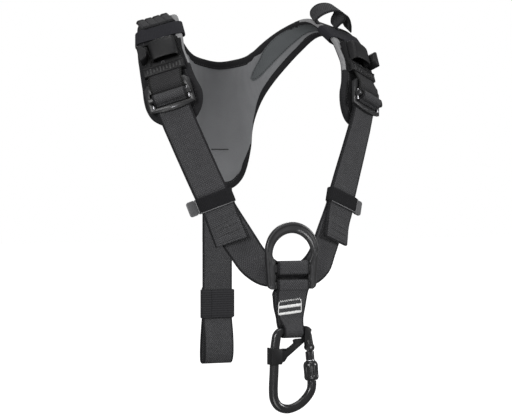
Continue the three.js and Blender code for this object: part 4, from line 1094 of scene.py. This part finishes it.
# Shoulder loops
# Narrow webbing across each arm's top. The left one stands open, and the right one lies in low humps.
LOOP_WEB = 20
LOOP_T = 2
ARCH_H = 27
LOOP_ROW = 12.3
loop_foot = on_arm(LOOP_ROW, 0, PANEL_T + GAP + LOOP_T / 2)
loop_end = on_arm(LOOP_ROW, 1, PANEL_T + GAP + LOOP_T / 2)
loop_along = on_arm(LOOP_ROW + 0.3, 0.5, 0) - on_arm(LOOP_ROW - 0.3, 0.5, 0)
loop_place = Place(loop_foot, loop_end - loop_foot, -loop_along)
arm_width = (loop_end - loop_foot).length
LOOP_SKEW = 0.1


def loop_row(w, h):
    """Edges of the standing loop, which is turned a little towards the neck as it rises."""
    skew = LOOP_SKEW * min(1.0, 2 * h)
    return (
        loop_place.at((w + skew) * arm_width, -LOOP_WEB / 2, h * ARCH_H),
        loop_place.at((w - skew) * arm_width, LOOP_WEB / 2, h * ARCH_H),
        LOOP_T,
    )


ARCH = [
    (0.12, 0),
    (-0.02, 0.02),
    (-0.05, 0.3),
    (0.05, 0.7),
    (0.23, 0.95),
    (0.43, 0.95),
    (0.53, 0.68),
    (0.5, 0.3),
    (0.52, 0.06),
    (0.64, 0),
]
FREE_END = [(0.38, 0.97), (0.58, 0.84), (0.72, 0.52), (0.87, 0.16)]
narrow_webbing = woven(
    "narrow webbing", (0.008, 0.008, 0.009), (0.046, 0.046, 0.048), (0.008, 0.008, 0.009), LOOP_WEB
)
arch = ribbon("shoulder_arch", [loop_row(w, h) for w, h in ARCH], steps=5, across=5)
fasten(arch, narrow_webbing, replaced=["shoulder_loop_left"])
free_end = ribbon("shoulder_arch_end", [loop_row(w, h) for w, h in FREE_END], steps=5, across=5)
fasten(free_end, narrow_webbing)
for piece, path in ((arch, ARCH), (free_end, FREE_END)):
    arch_flat = (LOOP_WEB * MM, cut_length([loop_row(w, h) for w, h in path]))
HUMPS = 4
HUMP_FROM = 0.17
HUMP_TO = 0.93
HUMP_FRONT = 4
HUMP_H = 0.115
HUMP_STEPS = 8


def hump_path(scale, reach):
    """The loop's humps, squared off by the band in front of them, as rows of its edges."""
    made = []
    for i in range(HUMPS * HUMP_STEPS + 1):
        share = i / (HUMPS * HUMP_STEPS)
        swell = abs(math.sin(math.pi * HUMPS * share))
        w = HUMP_FROM + (HUMP_TO - HUMP_FROM) * share
        h = HUMP_H * scale * min(1.0, 2 * swell) ** 0.5 * (1 + 0.06 * math.sin(9 * share))
        made.append(
            (
                loop_place.at(w * arm_width, -LOOP_WEB / 2 * reach - HUMP_FRONT, 0.9 * h * ARCH_H),
                loop_place.at(w * arm_width, LOOP_WEB / 2 * reach, h * ARCH_H),
                LOOP_T,
            )
        )
    return made


for name, scale, reach, replaced in (
    ("shoulder_humps", 1.0, 1.0, ["shoulder_loop_right"]),
    ("shoulder_humps_ply", 0.42, 0.97, []),
):
    humps = ribbon(name, hump_path(scale, reach), steps=3, across=5)
    humps.data.transform(Matrix.Scale(-1, 4, (1, 0, 0)))
    humps.data.flip_normals()
    fasten(humps, narrow_webbing, replaced=replaced)
    humps_flat = ((LOOP_WEB + HUMP_FRONT) * MM, cut_length(hump_path(scale, reach)))

# Chest ring
# Forged in one plate of light alloy and coated black: an arch over the eye, two legs, and two bars with
# a slot between them. The arch has a raised outer rim round a sunk face.
RING_W = 77
RING_H = 87.7
RING_FOOT = 69
RING_RIM = 14.6
RING_SIDE = 9.9
SLOT_W = 46.4
BAR_H = 11.5
SLOT_H = 11.5
FOOT_BAR_H = 10
ring_low = -(RING_TOP + RING_H)
slot_low = ring_low + FOOT_BAR_H
slot_top = slot_low + SLOT_H
bar_top = slot_top + BAR_H
arch_middle = -(RING_TOP + RING_W / 2)
EYE_R = RING_W / 2 - RING_SIDE
eye_middle = -(RING_TOP + RING_RIM + EYE_R)
# The plate's section: a share of the way from the outer edge to the inner one, and how far back
RING_SECTION = [
    (0, 2.6),
    (0.02, 1.1),
    (0.08, 0.3),
    (0.17, 0),
    (0.27, 0.1),
    (0.35, 1.2),
    (0.68, 1.35),
    (0.76, 0.5),
    (0.85, 0.35),
    (0.93, 0.9),
    (0.985, 1.9),
    (1, 3.2),
    (1, 5.6),
    (0.9, 6.8),
    (0.5, 7),
    (0.1, 6.8),
    (0, 5.6),
]
RING_SUNK = (5, 6)
LEG_SHARE = 0.22


def ring_edges(share):
    """The outer and inner edge of the plate, from the wearer's left foot over the arch to the other foot."""
    side = 1 if share < 0.5 else -1
    away = min(share, 1 - share)
    if away > LEG_SHARE:
        angle = math.pi * (away - LEG_SHARE) / (1 - 2 * LEG_SHARE)
        outer = (RING_W / 2 * math.cos(angle), arch_middle + RING_W / 2 * math.sin(angle))
        inner = (EYE_R * math.cos(angle), eye_middle + EYE_R * math.sin(angle))
        return [(side * x, z) for x, z in (outer, inner)]
    down = 1 - away / LEG_SHARE
    foot = min(1.0, (1 - down) / 0.14)
    round_foot = 1 - math.sqrt(max(0.0, 1 - (1 - foot) ** 2))
    outer_x = RING_W / 2 + (RING_FOOT - RING_W) / 2 * down - 5 * round_foot
    outer_z = arch_middle + (ring_low - arch_middle) * down
    inner_z = eye_middle + (ring_low - eye_middle) * down
    reach = min(1.0, (eye_middle - inner_z) / (eye_middle - bar_top))
    inner_x = EYE_R + (SLOT_W / 2 - EYE_R) * reach
    if inner_z < bar_top:
        inner_x += 0.9 * math.sin(math.pi * (bar_top - inner_z) / (bar_top - ring_low) * 2) ** 2
    return [(side * outer_x, outer_z), (side * (inner_x + 2.5 * round_foot), inner_z)]


RING_STEPS = 96
ring_rings = []
for i in range(RING_STEPS + 1):
    share = i / RING_STEPS
    outer, inner = ring_edges(share)
    front = -CHEST - RING_T / 2 + (0.4 if min(share, 1 - share) < 0.16 else 0)
    face_share = 0.45 if abs(share - 0.5) < 0.045 else 1.0
    ring_points = []
    for k, (reach, depth) in enumerate(RING_SECTION):
        x = outer[0] + (inner[0] - outer[0]) * reach
        z = outer[1] + (inner[1] - outer[1]) * reach
        sunk = depth * face_share if k in RING_SUNK else depth
        ring_points.append(Vector((x, min(front + sunk, -CHEST + RING_T / 2), z)))
    ring_rings.append(ring_points)
ring_u = [float(k) for k in range(len(RING_SECTION) + 1)]
# The rim and chamfer faces take a lighter coat: a painted highlight along the ring's rims.
RING_GLINT_RIMS = (1, 2, 5, 9)
forged = sweep("forged_ring", ring_rings, ring_u, marked=lambda row, column: column in RING_GLINT_RIMS)
rim_highlight_coat = coated("rim painted highlight", (0.02, 0.02, 0.021), (0.055, 0.055, 0.057), 0.28, metallic=0.2, specular=0.3)
forged.data.materials.append(black_coat)
forged.data.materials.append(rim_highlight_coat)
ring_bars = []
for low, high in ((slot_top, bar_top), (ring_low, slot_low)):
    middle = Vector((0, -CHEST + 0.2, (low + high) / 2)) * MM
    bpy.ops.mesh.primitive_cube_add(size=1, location=middle)
    bar_shape = bpy.context.object
    bar_shape.scale = Vector((SLOT_W + 5, RING_T - 0.6, high - low)) * MM
    bpy.ops.object.transform_apply(location=True, rotation=False, scale=True)
    bar_shape.data.materials.append(black_coat)
    ring_bars.append(bevelled(bar_shape, 2.2, segments=4))
forged = joined([forged, *ring_bars], "forged_ring")
fasten(forged, None, replaced=["chest_ring"], smooth=50)

# Ring webbing
# The straps' ends are wrapped over the middle bar. From the lower bar hangs one loop of webbing, sewn
# together below the bar, whose end goes round the connector's top bow.
wrap_half = SLOT_W / 2 - 2 * GAP


def round_bar(high, low, grow, corner, count=3):
    """A closed path in the YZ plane round one of the ring's bars, as (y, z) places."""
    back_y, front_y = -CHEST + RING_T / 2 + grow, -CHEST - RING_T / 2 - grow
    high, low = high + grow, low - grow
    made = []
    for (y, z), start in (
        ((front_y + corner, high - corner), 0.5),
        ((front_y + corner, low + corner), 1.0),
        ((back_y - corner, low + corner), 1.5),
        ((back_y - corner, high - corner), 0.0),
    ):
        for k in range(count + 1):
            angle = math.pi * (start + 0.5 * k / count)
            made.append((y + corner * math.cos(angle), z + corner * math.sin(angle)))
    return made


wrap_rows = [
    (Vector((-wrap_half, y, z)), Vector((wrap_half, y, z)), WEB_T)
    for y, z in round_bar(bar_top + 1.6, slot_top, GAP + WEB_T / 2, 2)
]
ring_wrap = ribbon("bar_wrap", wrap_rows, steps=2, closed=True)
fasten(ring_wrap, load_webbing, replaced=["ring_wrap"])
cut_length(wrap_rows, True)
VENTRAL_END = 370.5
VENTRAL_EYE = 27
ROD = 12
eye_r = ROD / 2 + 3 * GAP
bow_down = VENTRAL_END - WEB_T - eye_r
PLY = WEB_T
sewn_low = -(VENTRAL_END - VENTRAL_EYE)
# Edges of the loop's front and back layers by height: the back one folds in late on its right
FRONT_EDGES = [
    (-306, -22.6, 22.6),
    (-318, -22.6, 20.4),
    (-331, -22.6, 18),
    (-346, -20, 15),
    (-356, -14.2, 13.6),
]
BACK_EDGES = [
    (-306.5, -22.6, 22.6),
    (-309.5, -27.6, 23.4),
    (-331, -25.6, 19),
    (-346, -21.6, 16),
    (-354, -19.5, 14.4),
    (-362, -14.5, 14),
]


def edges_at(table, z):
    """The loop's two edges at a height, between the rows of a table."""
    if z >= table[0][0]:
        return table[0][1:]
    for (high, a, b), (low, c, d) in zip(table, table[1:]):
        if z >= low:
            f = (high - z) / (high - low)
            return a + (c - a) * f, b + (d - b) * f
    return table[-1][1:]


def loop_layer(table, places):
    made = []
    for y, z in places:
        left, right = edges_at(table, z)
        made.append((Vector((left, -CHEST + y, z)), Vector((right, -CHEST + y, z)), WEB_T - 0.1))
    return made


loop_bar = [(y + CHEST, z) for y, z in round_bar(slot_low, ring_low, GAP + WEB_T / 2, 2.4)]
front_down = [(-2.6, ring_low - 6), (-PLY, ring_low - 10), (-PLY, -330), (-PLY - 0.1, sewn_low)]
front_down += [(-4.2, -350), (-7.2, -357)]
bow_round = [
    (-(eye_r + PLY / 2) * math.cos(x), -bow_down - (eye_r + PLY / 2) * math.sin(x))
    for x in (math.pi * k / 8 for k in range(9))
]
back_up = [(7.2, -357), (4.2, -350), (PLY + 0.1, sewn_low), (PLY, -330), (PLY, ring_low - 10)]
back_up += [(2.6, ring_low - 6)]
loop_rows = loop_layer(FRONT_EDGES, loop_bar[:7] + front_down + bow_round[:5])
loop_rows += loop_layer(BACK_EDGES, bow_round[5:] + back_up + loop_bar[9:])
hanging = ribbon("hanging_loop", loop_rows, steps=3, closed=True, across=10)
fasten(hanging, load_webbing, replaced=["ventral_loop"])
cut_length(loop_rows, True)
inner_ply = loop_layer([(-306, -21, 19), (-346, -18, 14)], [(0, ring_low - 5), (0, -330), (0, sewn_low)])
ply = ribbon("hanging_loop_ply", inner_ply, steps=3)
fasten(ply, load_webbing)
cut_length(inner_ply)

# Loop stitching
# A box sewn on the loop's front in white thread: two bar tacks, a zigzag row and a row down each side.
white_thread, thread_shader = finish_of("white thread", 0.7, sheen=0.1, specular=0.3)
thread_wave = wave(white_thread, woven_axes(white_thread)[0], 0.7)
toned(white_thread, thread_shader, thread_wave, (0.36, 0.36, 0.36), (0.86, 0.86, 0.85))
bumped(white_thread, thread_shader, thread_wave, 0.2)
front_face = -CHEST - 1.5 * PLY


def stitched(name, places, width, height):
    """A raised row of stitches along places, as wide as its thread lies and that high."""
    rings = []
    facing = Vector((0, -1, 0))
    for i, p in enumerate(places):
        before, after = places[max(i - 1, 0)], places[min(i + 1, len(places) - 1)]
        side = (after - before).cross(facing).normalized() * width / 2
        end = 0.35 if i in (0, len(places) - 1) else 1.0
        rings.append(
            [
                p - side * end,
                p - side * 0.6 * end + facing * height * end,
                p + side * 0.6 * end + facing * height * end,
                p + side * end,
                p - facing * 0.3,
            ]
        )
    made = sweep(name, rings, [0, width / 3, 2 * width / 3, width, width * 1.5, width * 2])
    return fasten(made, white_thread, smooth=60)


BOX_LEFT = -21.6
BOX_RIGHT = 12.2
BOX_RISE = 0.1


def on_box(x, z):
    """A place on the sewn box, whose rows rise a little to the wearer's left."""
    return Vector((x, front_face - 0.2, z + BOX_RISE * (x - BOX_LEFT)))


for label, z, width in (("upper", -330.4, 4.0), ("lower", -339, 3.4)):
    row = [on_box(BOX_LEFT + (BOX_RIGHT - BOX_LEFT) * k / 16, z) for k in range(17)]
    stitched("bar_tack_" + label, row, width, 0.7)
box_top = -322.6
zigzag = [on_box(-19.4 + 30 * k / 22, box_top + (0.9 if k % 2 else -0.9)) for k in range(23)]
stitched("zigzag_row", zigzag, 1.0, 0.5)
BOX_SIDES = [("left", -19.4, -1.6, BOX_LEFT + 0.6), ("right", 10.8, 0.9, BOX_RIGHT - 0.5)]
for side, high_x, bend, low_x in BOX_SIDES:
    row = [on_box(high_x + bend * math.sin(math.pi * k / 8), box_top - 1.3 * k) for k in range(5)]
    row += [on_box(low_x, -329 - 2.6 * k) for k in range(5)]
    stitched("box_side_" + side, row, 1.3, 0.5)

# Connector
# A pear-shaped connector: a forged rod, a hinged gate with a screw sleeve, and a clip-on bar.
KRAB_DROP = 469
KRAB_W = 68
BOW_R = 10.5
BOW_FLAT = 25
GATE_D = 11.4
GATE_L = 43.5
SLEEVE_D = 19.4
SLEEVE_L = 25.2
krab_h = KRAB_DROP - bow_down - ROD / 2
LOWER_ROD = [
    (-0.73, 0.23),
    (-0.76, 0.5),
    (-0.79, 0.783),
    (-0.741, 0.881),
    (-0.56, 0.963),
    (-0.25, 1),
    (0.06, 0.985),
    (0.353, 0.941),
    (0.632, 0.862),
    (0.81, 0.775),
    (0.85, 0.71),
]


def krab_at(x, down):
    return Vector((x, -CHEST, -bow_down - down))


hinge = krab_at(0.741 * KRAB_W / 2, 0.215 * krab_h)
nose_line = krab_at(0.85 * KRAB_W / 2, 0.65 * krab_h)
gate_turn = -math.atan2(nose_line.x - hinge.x, hinge.z - nose_line.z)
gate_down = Vector((-math.sin(gate_turn), 0, -math.cos(gate_turn)))
nose_end = hinge + gate_down * (GATE_L + 0.9)
bends = []
for side in (1, -1):
    for i in range(5):
        angle = math.pi / 2 * (i if side > 0 else 4 - i) / 4
        x = side * (BOW_FLAT / 2 + BOW_R * math.cos(angle))
        bends.append(krab_at(x, BOW_R * (1 - math.sin(angle))))
lower_rod = [krab_at(out * KRAB_W / 2, down * krab_h) for out, down in LOWER_ROD]
rod_path = curve_through([hinge, *bends, *lower_rod, nose_end], 4)
ROD_SIDES = 24


def rod_section(i):
    """The forged section: a round bar with a shallow groove along each face."""
    p = rod_path[i]
    before, after = rod_path[max(i - 1, 0)], rod_path[min(i + 1, len(rod_path) - 1)]
    along = (after - before).normalized()
    side = along.cross(Vector((0, 1, 0))).normalized()
    ends = min(i, len(rod_path) - 1 - i) / 12
    groove = 0.5 * min(1.0, ends)
    ring_points = []
    for k in range(ROD_SIDES):
        angle = 2 * math.pi * (k + 0.5) / ROD_SIDES
        radius = ROD / 2 - groove * math.exp(-((math.sin(angle) - 1) / 0.12) ** 2)
        radius -= groove * math.exp(-((math.sin(angle) + 1) / 0.12) ** 2)
        ring_points.append(p + side * radius * math.cos(angle) + Vector((0, radius * math.sin(angle), 0)))
    return ring_points


satin_black = coated(
    "satin black", (0.004, 0.004, 0.0045), (0.016, 0.016, 0.017), 0.24, grain=0.006, specular=0.5
)
rod_u = [math.pi * ROD * k / ROD_SIDES for k in range(ROD_SIDES + 1)]
rod = sweep("connector_rod", [rod_section(i) for i in range(len(rod_path))], rod_u)
TONGUE_T = 4
PIN_D = 3


def cut_by(made, tool, operation="DIFFERENCE"):
    """Cuts one mesh by another, which is then deleted."""
    pick(made)
    shape = made.modifiers.new("shape", "BOOLEAN")
    shape.operation = operation
    shape.object = tool
    shape.solver = "EXACT"
    bpy.ops.object.modifier_apply(modifier=shape.name)
    bpy.data.objects.remove(tool, do_unlink=True)
    return made


def round_at(middle, radius, length, sides=32, turn=(math.pi / 2, 0, 0)):
    """A plain round tool at a place in millimetres, across the connector unless turned."""
    bpy.ops.mesh.primitive_cylinder_add(
        vertices=sides, radius=radius * MM, depth=length * MM, location=middle * MM, rotation=turn
    )
    return bpy.context.object


cut_by(rod, round_at(hinge, 0.42 * ROD, 0.94 * ROD), "UNION")
bpy.ops.mesh.primitive_cube_add(size=1, location=hinge * MM)
hinge_slot = bpy.context.object
hinge_slot.scale = Vector((2 * ROD, TONGUE_T + 2 * GAP, ROD)) * MM
cut_by(rod, hinge_slot)
cut_by(rod, round_at(hinge, PIN_D / 2 + GAP, 2 * ROD))
bevelled(rod, 0.35, segments=2, angle=40)
fasten(rod, satin_black, "carabiner", replaced=["carabiner_body"])
# The clip-on bar's outlines as places across and up: a clasp round the spine, a strut, and a hook on the bend
CLASP = [(-33, -404), (-33, -382.6), (-17.4, -383.8), (-17.4, -404)]
STRUT = [
    (-24, -384),
    (-8, -384.6),
    (-2, -381),
    (3, -377.2),
    (1.8, -373.6),
    (4.8, -371.8),
    (15.6, -371.5),
    (17.5, -374.4),
    (15, -377.6),
    (3.1, -386.8),
    (-7.8, -395.1),
    (-11.4, -400.4),
    (-17.3, -403.3),
    (-24, -403.6),
]
HOOK = [
    (15.2, -376.4),
    (15.2, -357),
    (17, -354.6),
    (21.5, -356.2),
    (25.6, -359.6),
    (24.2, -364),
    (21.4, -370),
    (17.6, -376.6),
]


def plate(name, outline, front, back, edge=0.7):
    """A flat plate of an outline across and up, between two depths, with rounded edges."""
    rings = [[Vector((x, -CHEST + y, z)) for x, z in outline] for y in (front, back)]
    made = sweep(name, rings, [float(k) for k in range(len(outline) + 1)])
    made.data.materials.append(black_nylon)
    return bevelled(made, edge, segments=2)


clip_parts = [
    plate("clip_clasp", CLASP, -8, 6.8),
    plate("clip_strut", STRUT, -3.6, 3.4),
    plate("clip_hook", HOOK, -8, 5, 1.4),
]
grown = [[p + (q - p) * (1 + 2 * GAP / ROD) for q in rod_section(i)] for i, p in enumerate(rod_path)]
for part in clip_parts:
    cut_by(part, sweep("rod_space", grown, rod_u))
EDGE_STRIP = [(-17, -385.6), (-8, -386), (1.4, -378.8), (0, -377.2), (-8.6, -383.6), (-17, -383.4)]
FLANGE = [(-33.4, -404.4), (-33.4, -382.2), (-31.6, -382.2), (-31.6, -404.4)]
clip_parts += [
    plate("clip_edge", EDGE_STRIP, -4.4, -3.2, 0.3),
    plate("clip_flange", FLANGE, -6.6, 5.6, 0.5),
]
clip = joined(clip_parts, "clip_on_bar")
fasten(clip, None, "carabiner", replaced=["positioning_bar"], smooth=30)
gate = bevelled(copy_of("gate", "gate_bar"), 0.4, angle=40)
fasten(gate, satin_black, "gate", replaced=["gate"])
SLEEVE_SIDES = 96
FLUTES = 12
# The sleeve's section as its place down from its upper end, its radius and how deep its flutes are there
SLEEVE_SECTION = [
    (0.02, 0.72, 0),
    (0.05, 0.84, 0),
    (0.14, 0.95, 0),
    (0.2, 1, 0),
    (0.24, 1, 0.02),
    (0.3, 0.99, 0.09),
    (0.5, 0.98, 0.09),
    (0.74, 0.97, 0.09),
    (0.8, 0.985, 0.02),
    (0.84, 0.985, 0),
    (0.93, 0.93, 0),
    (0.99, 0.8, 0),
    (1, 0.7, 0),
    (1, 0.63, 0),
    (0, 0.63, 0),
    (0, 0.7, 0),
]
sleeve_axis = Vector((0, 1, 0)).cross(gate_down).normalized()
sleeve_nodes = [(v.co / MM - hinge).dot(gate_down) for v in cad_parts["screw_sleeve"].data.vertices]
sleeve_top = min(sleeve_nodes)
sleeve_rings = []
for k in range(SLEEVE_SIDES):
    angle = 2 * math.pi * k / SLEEVE_SIDES
    out = sleeve_axis * math.cos(angle) + Vector((0, 1, 0)) * math.sin(angle)
    flute = max(0.0, math.cos(FLUTES * angle)) ** 0.5
    sleeve_rings.append(
        [
            hinge + gate_down * (sleeve_top + SLEEVE_L * down) + out * SLEEVE_D / 2 * (r - depth * flute)
            for down, r, depth in SLEEVE_SECTION
        ]
    )
sleeve_u = list(range(len(SLEEVE_SECTION) + 1))
sleeve = sweep("lock_sleeve", sleeve_rings, sleeve_u, closed=True)
fasten(sleeve, satin_black, "sleeve", replaced=["screw_sleeve"])
steel = coated("pin steel", (0.35, 0.35, 0.36), (0.6, 0.6, 0.62), 0.3, metallic=0.9, grain=0.005)
collar_place = hinge + gate_down * (sleeve_top - 1.2)
collar_turn = gate_down.to_track_quat("Z", "Y").to_euler()
collar = named(round_at(collar_place, GATE_D / 2 + 0.45, 1.1, 40, collar_turn), "gate_collar")
bpy.ops.object.transform_apply(location=True, rotation=True, scale=True)
bevelled(collar, 0.3)
fasten(collar, steel, "gate")
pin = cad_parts["gate_pin"]
pin.data.materials.clear()
pin.data.materials.append(steel)

# Rear strap
# Load webbing sewn on the back panel's outer face. It hangs free and is turned up into a loop,
# which a hook-and-loop band closes.
REAR_END = 422.5
REAR_SEWN = 38
REAR_LOOP = 64
REAR_OPEN = 13
REAR_BAND_H = 40
REAR_BAND_T = 1.8
REAR_LIFT = 0.4
back_face = PANEL_T + GAP + WEB_T / 2
band_low = REAR_END - REAR_LOOP
band_high = band_low - REAR_BAND_H
REAR_PATH = [
    (0, TAIL_DROP - REAR_SEWN),
    (0, TAIL_DROP),
    (REAR_LIFT, (TAIL_DROP + band_high) / 2),
    (REAR_LIFT, band_high),
    (REAR_LIFT, band_low),
    (REAR_LIFT - 0.3 * REAR_OPEN, band_low + 0.3 * REAR_LOOP),
    (REAR_LIFT - 0.45 * REAR_OPEN, band_low + 0.6 * REAR_LOOP),
    (REAR_LIFT - 0.35 * REAR_OPEN, band_low + 0.85 * REAR_LOOP),
    (REAR_LIFT, band_low + 0.97 * REAR_LOOP),
    (REAR_LIFT + 0.3 * REAR_OPEN, REAR_END - WEB_T / 2),
    (REAR_LIFT + 0.6 * REAR_OPEN, band_low + 0.95 * REAR_LOOP),
    (REAR_LIFT + 0.7 * REAR_OPEN, band_low + 0.8 * REAR_LOOP),
    (REAR_LIFT + 0.6 * REAR_OPEN, band_low + 0.5 * REAR_LOOP),
    (REAR_LIFT + LAYER + 0.1 * REAR_OPEN, band_low + 0.1 * REAR_LOOP),
    (REAR_LIFT + LAYER, band_low),
    (REAR_LIFT + LAYER, band_high - 3),
]
rear_rows = [
    (Vector((-WEB / 2, back_face + y, -down)), Vector((WEB / 2, back_face + y, -down)), WEB_T)
    for y, down in REAR_PATH
]
rear_strap = ribbon("rear_webbing", rear_rows, steps=5)
fasten(rear_strap, load_webbing, replaced=["rear_strap"])
cut_length(rear_rows)
rear_y = back_face + REAR_LIFT
rear_half = WEB / 2 + GAP + REAR_BAND_T / 2
REAR_BAND_PATH = [
    (-rear_half + 2, -WEB_T / 2 - GAP - 0.9),
    (0, -WEB_T / 2 - GAP - 1.0),
    (rear_half - 2, -WEB_T / 2 - GAP - 0.9),
    (rear_half, 0),
    (rear_half, LAYER),
    (rear_half - 2, WEB_T / 2 + LAYER + GAP + 0.9),
    (0, WEB_T / 2 + LAYER + GAP + 1.0),
    (-rear_half + 2, WEB_T / 2 + LAYER + GAP + 0.9),
    (-rear_half, LAYER),
    (-rear_half, 0),
]
rear_band_rows = [
    (Vector((x, rear_y + y, -band_low)), Vector((x, rear_y + y, -band_high)), REAR_BAND_T)
    for x, y in REAR_BAND_PATH
]
rear_band = ribbon("rear_wrap", rear_band_rows, closed=True)
rear_elastic = elastic("rear elastic", (0.011, 0.011, 0.012), (0.024, 0.024, 0.026), REAR_BAND_H)
fasten(rear_band, rear_elastic, replaced=["rear_band"])
rear_flat = (REAR_BAND_H * MM, cut_length(rear_band_rows, True))

OVERLAP_FROM = -9.8
overlap_y = rear_y - WEB_T / 2 - GAP - 2.5
overlap_rows = [
    (Vector((x, y, -band_low + 1.2)), Vector((x, y, -band_high - 0.4)), 1.1)
    for x, y in (
        (OVERLAP_FROM, overlap_y + 0.1),
        (0, overlap_y - 0.1),
        (rear_half - 1.5, overlap_y),
        (rear_half + 0.9, overlap_y + 1.4),
        (rear_half + 1.4, overlap_y + 3.4),
        (rear_half + 1.3, overlap_y + 5.2),
    )
]
overlap = ribbon("rear_wrap_overlap", overlap_rows, steps=4)
fasten(overlap, rear_elastic)
overlap_flat = (REAR_BAND_H * MM, cut_length(overlap_rows))

# Studio
# A white paper floor and backdrop that light nothing themselves, with soft boxes from the left, the right
# and above in a dim room.
bpy.ops.mesh.primitive_plane_add(size=60, location=(0, 0, -1.3))
floor = bpy.context.object
floor.name = "floor"
paper, paper_shader = finish_of("paper", 0.9, specular=0.0)
paper_shader.inputs["Base Color"].default_value = (0.9, 0.9, 0.9, 1)
paper_shader.inputs["Emission Color"].default_value = (1, 1, 1, 1)
paper_shader.inputs["Emission Strength"].default_value = 0.95
floor.data.materials.append(paper)
floor.visible_diffuse = False
floor.visible_glossy = False
ROOM = 0.3
world = bpy.data.worlds.new("studio")
world.use_nodes = True
backdrop = world.node_tree.nodes["Background"]
backdrop.inputs["Color"].default_value = (1, 1, 1, 1)
seen = world.node_tree.nodes.new("ShaderNodeLightPath")
level = world.node_tree.nodes.new("ShaderNodeMapRange")
level.inputs[3].default_value = ROOM
world.node_tree.links.new(seen.outputs["Is Camera Ray"], level.inputs[0])
world.node_tree.links.new(level.outputs[0], backdrop.inputs["Strength"])
bpy.context.scene.world = world
bpy.context.scene.view_settings.view_transform = "Standard"
SOFT_BOXES = [
    ((-2.1, -1.7, 0.7), 1.1, 62),
    ((1.9, -1.5, 0.5), 0.7, 40),
    ((-0.4, -1.8, -1.2), 1.0, 14),
    ((-0.2, -0.4, 2.0), 1.4, 26),
    ((0.6, 2.2, 0.9), 1.2, 26),
]
for place, size, power in SOFT_BOXES:
    bpy.ops.object.light_add(type="AREA", location=place)
    light = bpy.context.object
    light.data.size = size
    light.data.energy = power
    light.rotation_euler = (TARGET - Vector(place)).to_track_quat("-Z", "Y").to_euler()

bpy.context.view_layer.update()
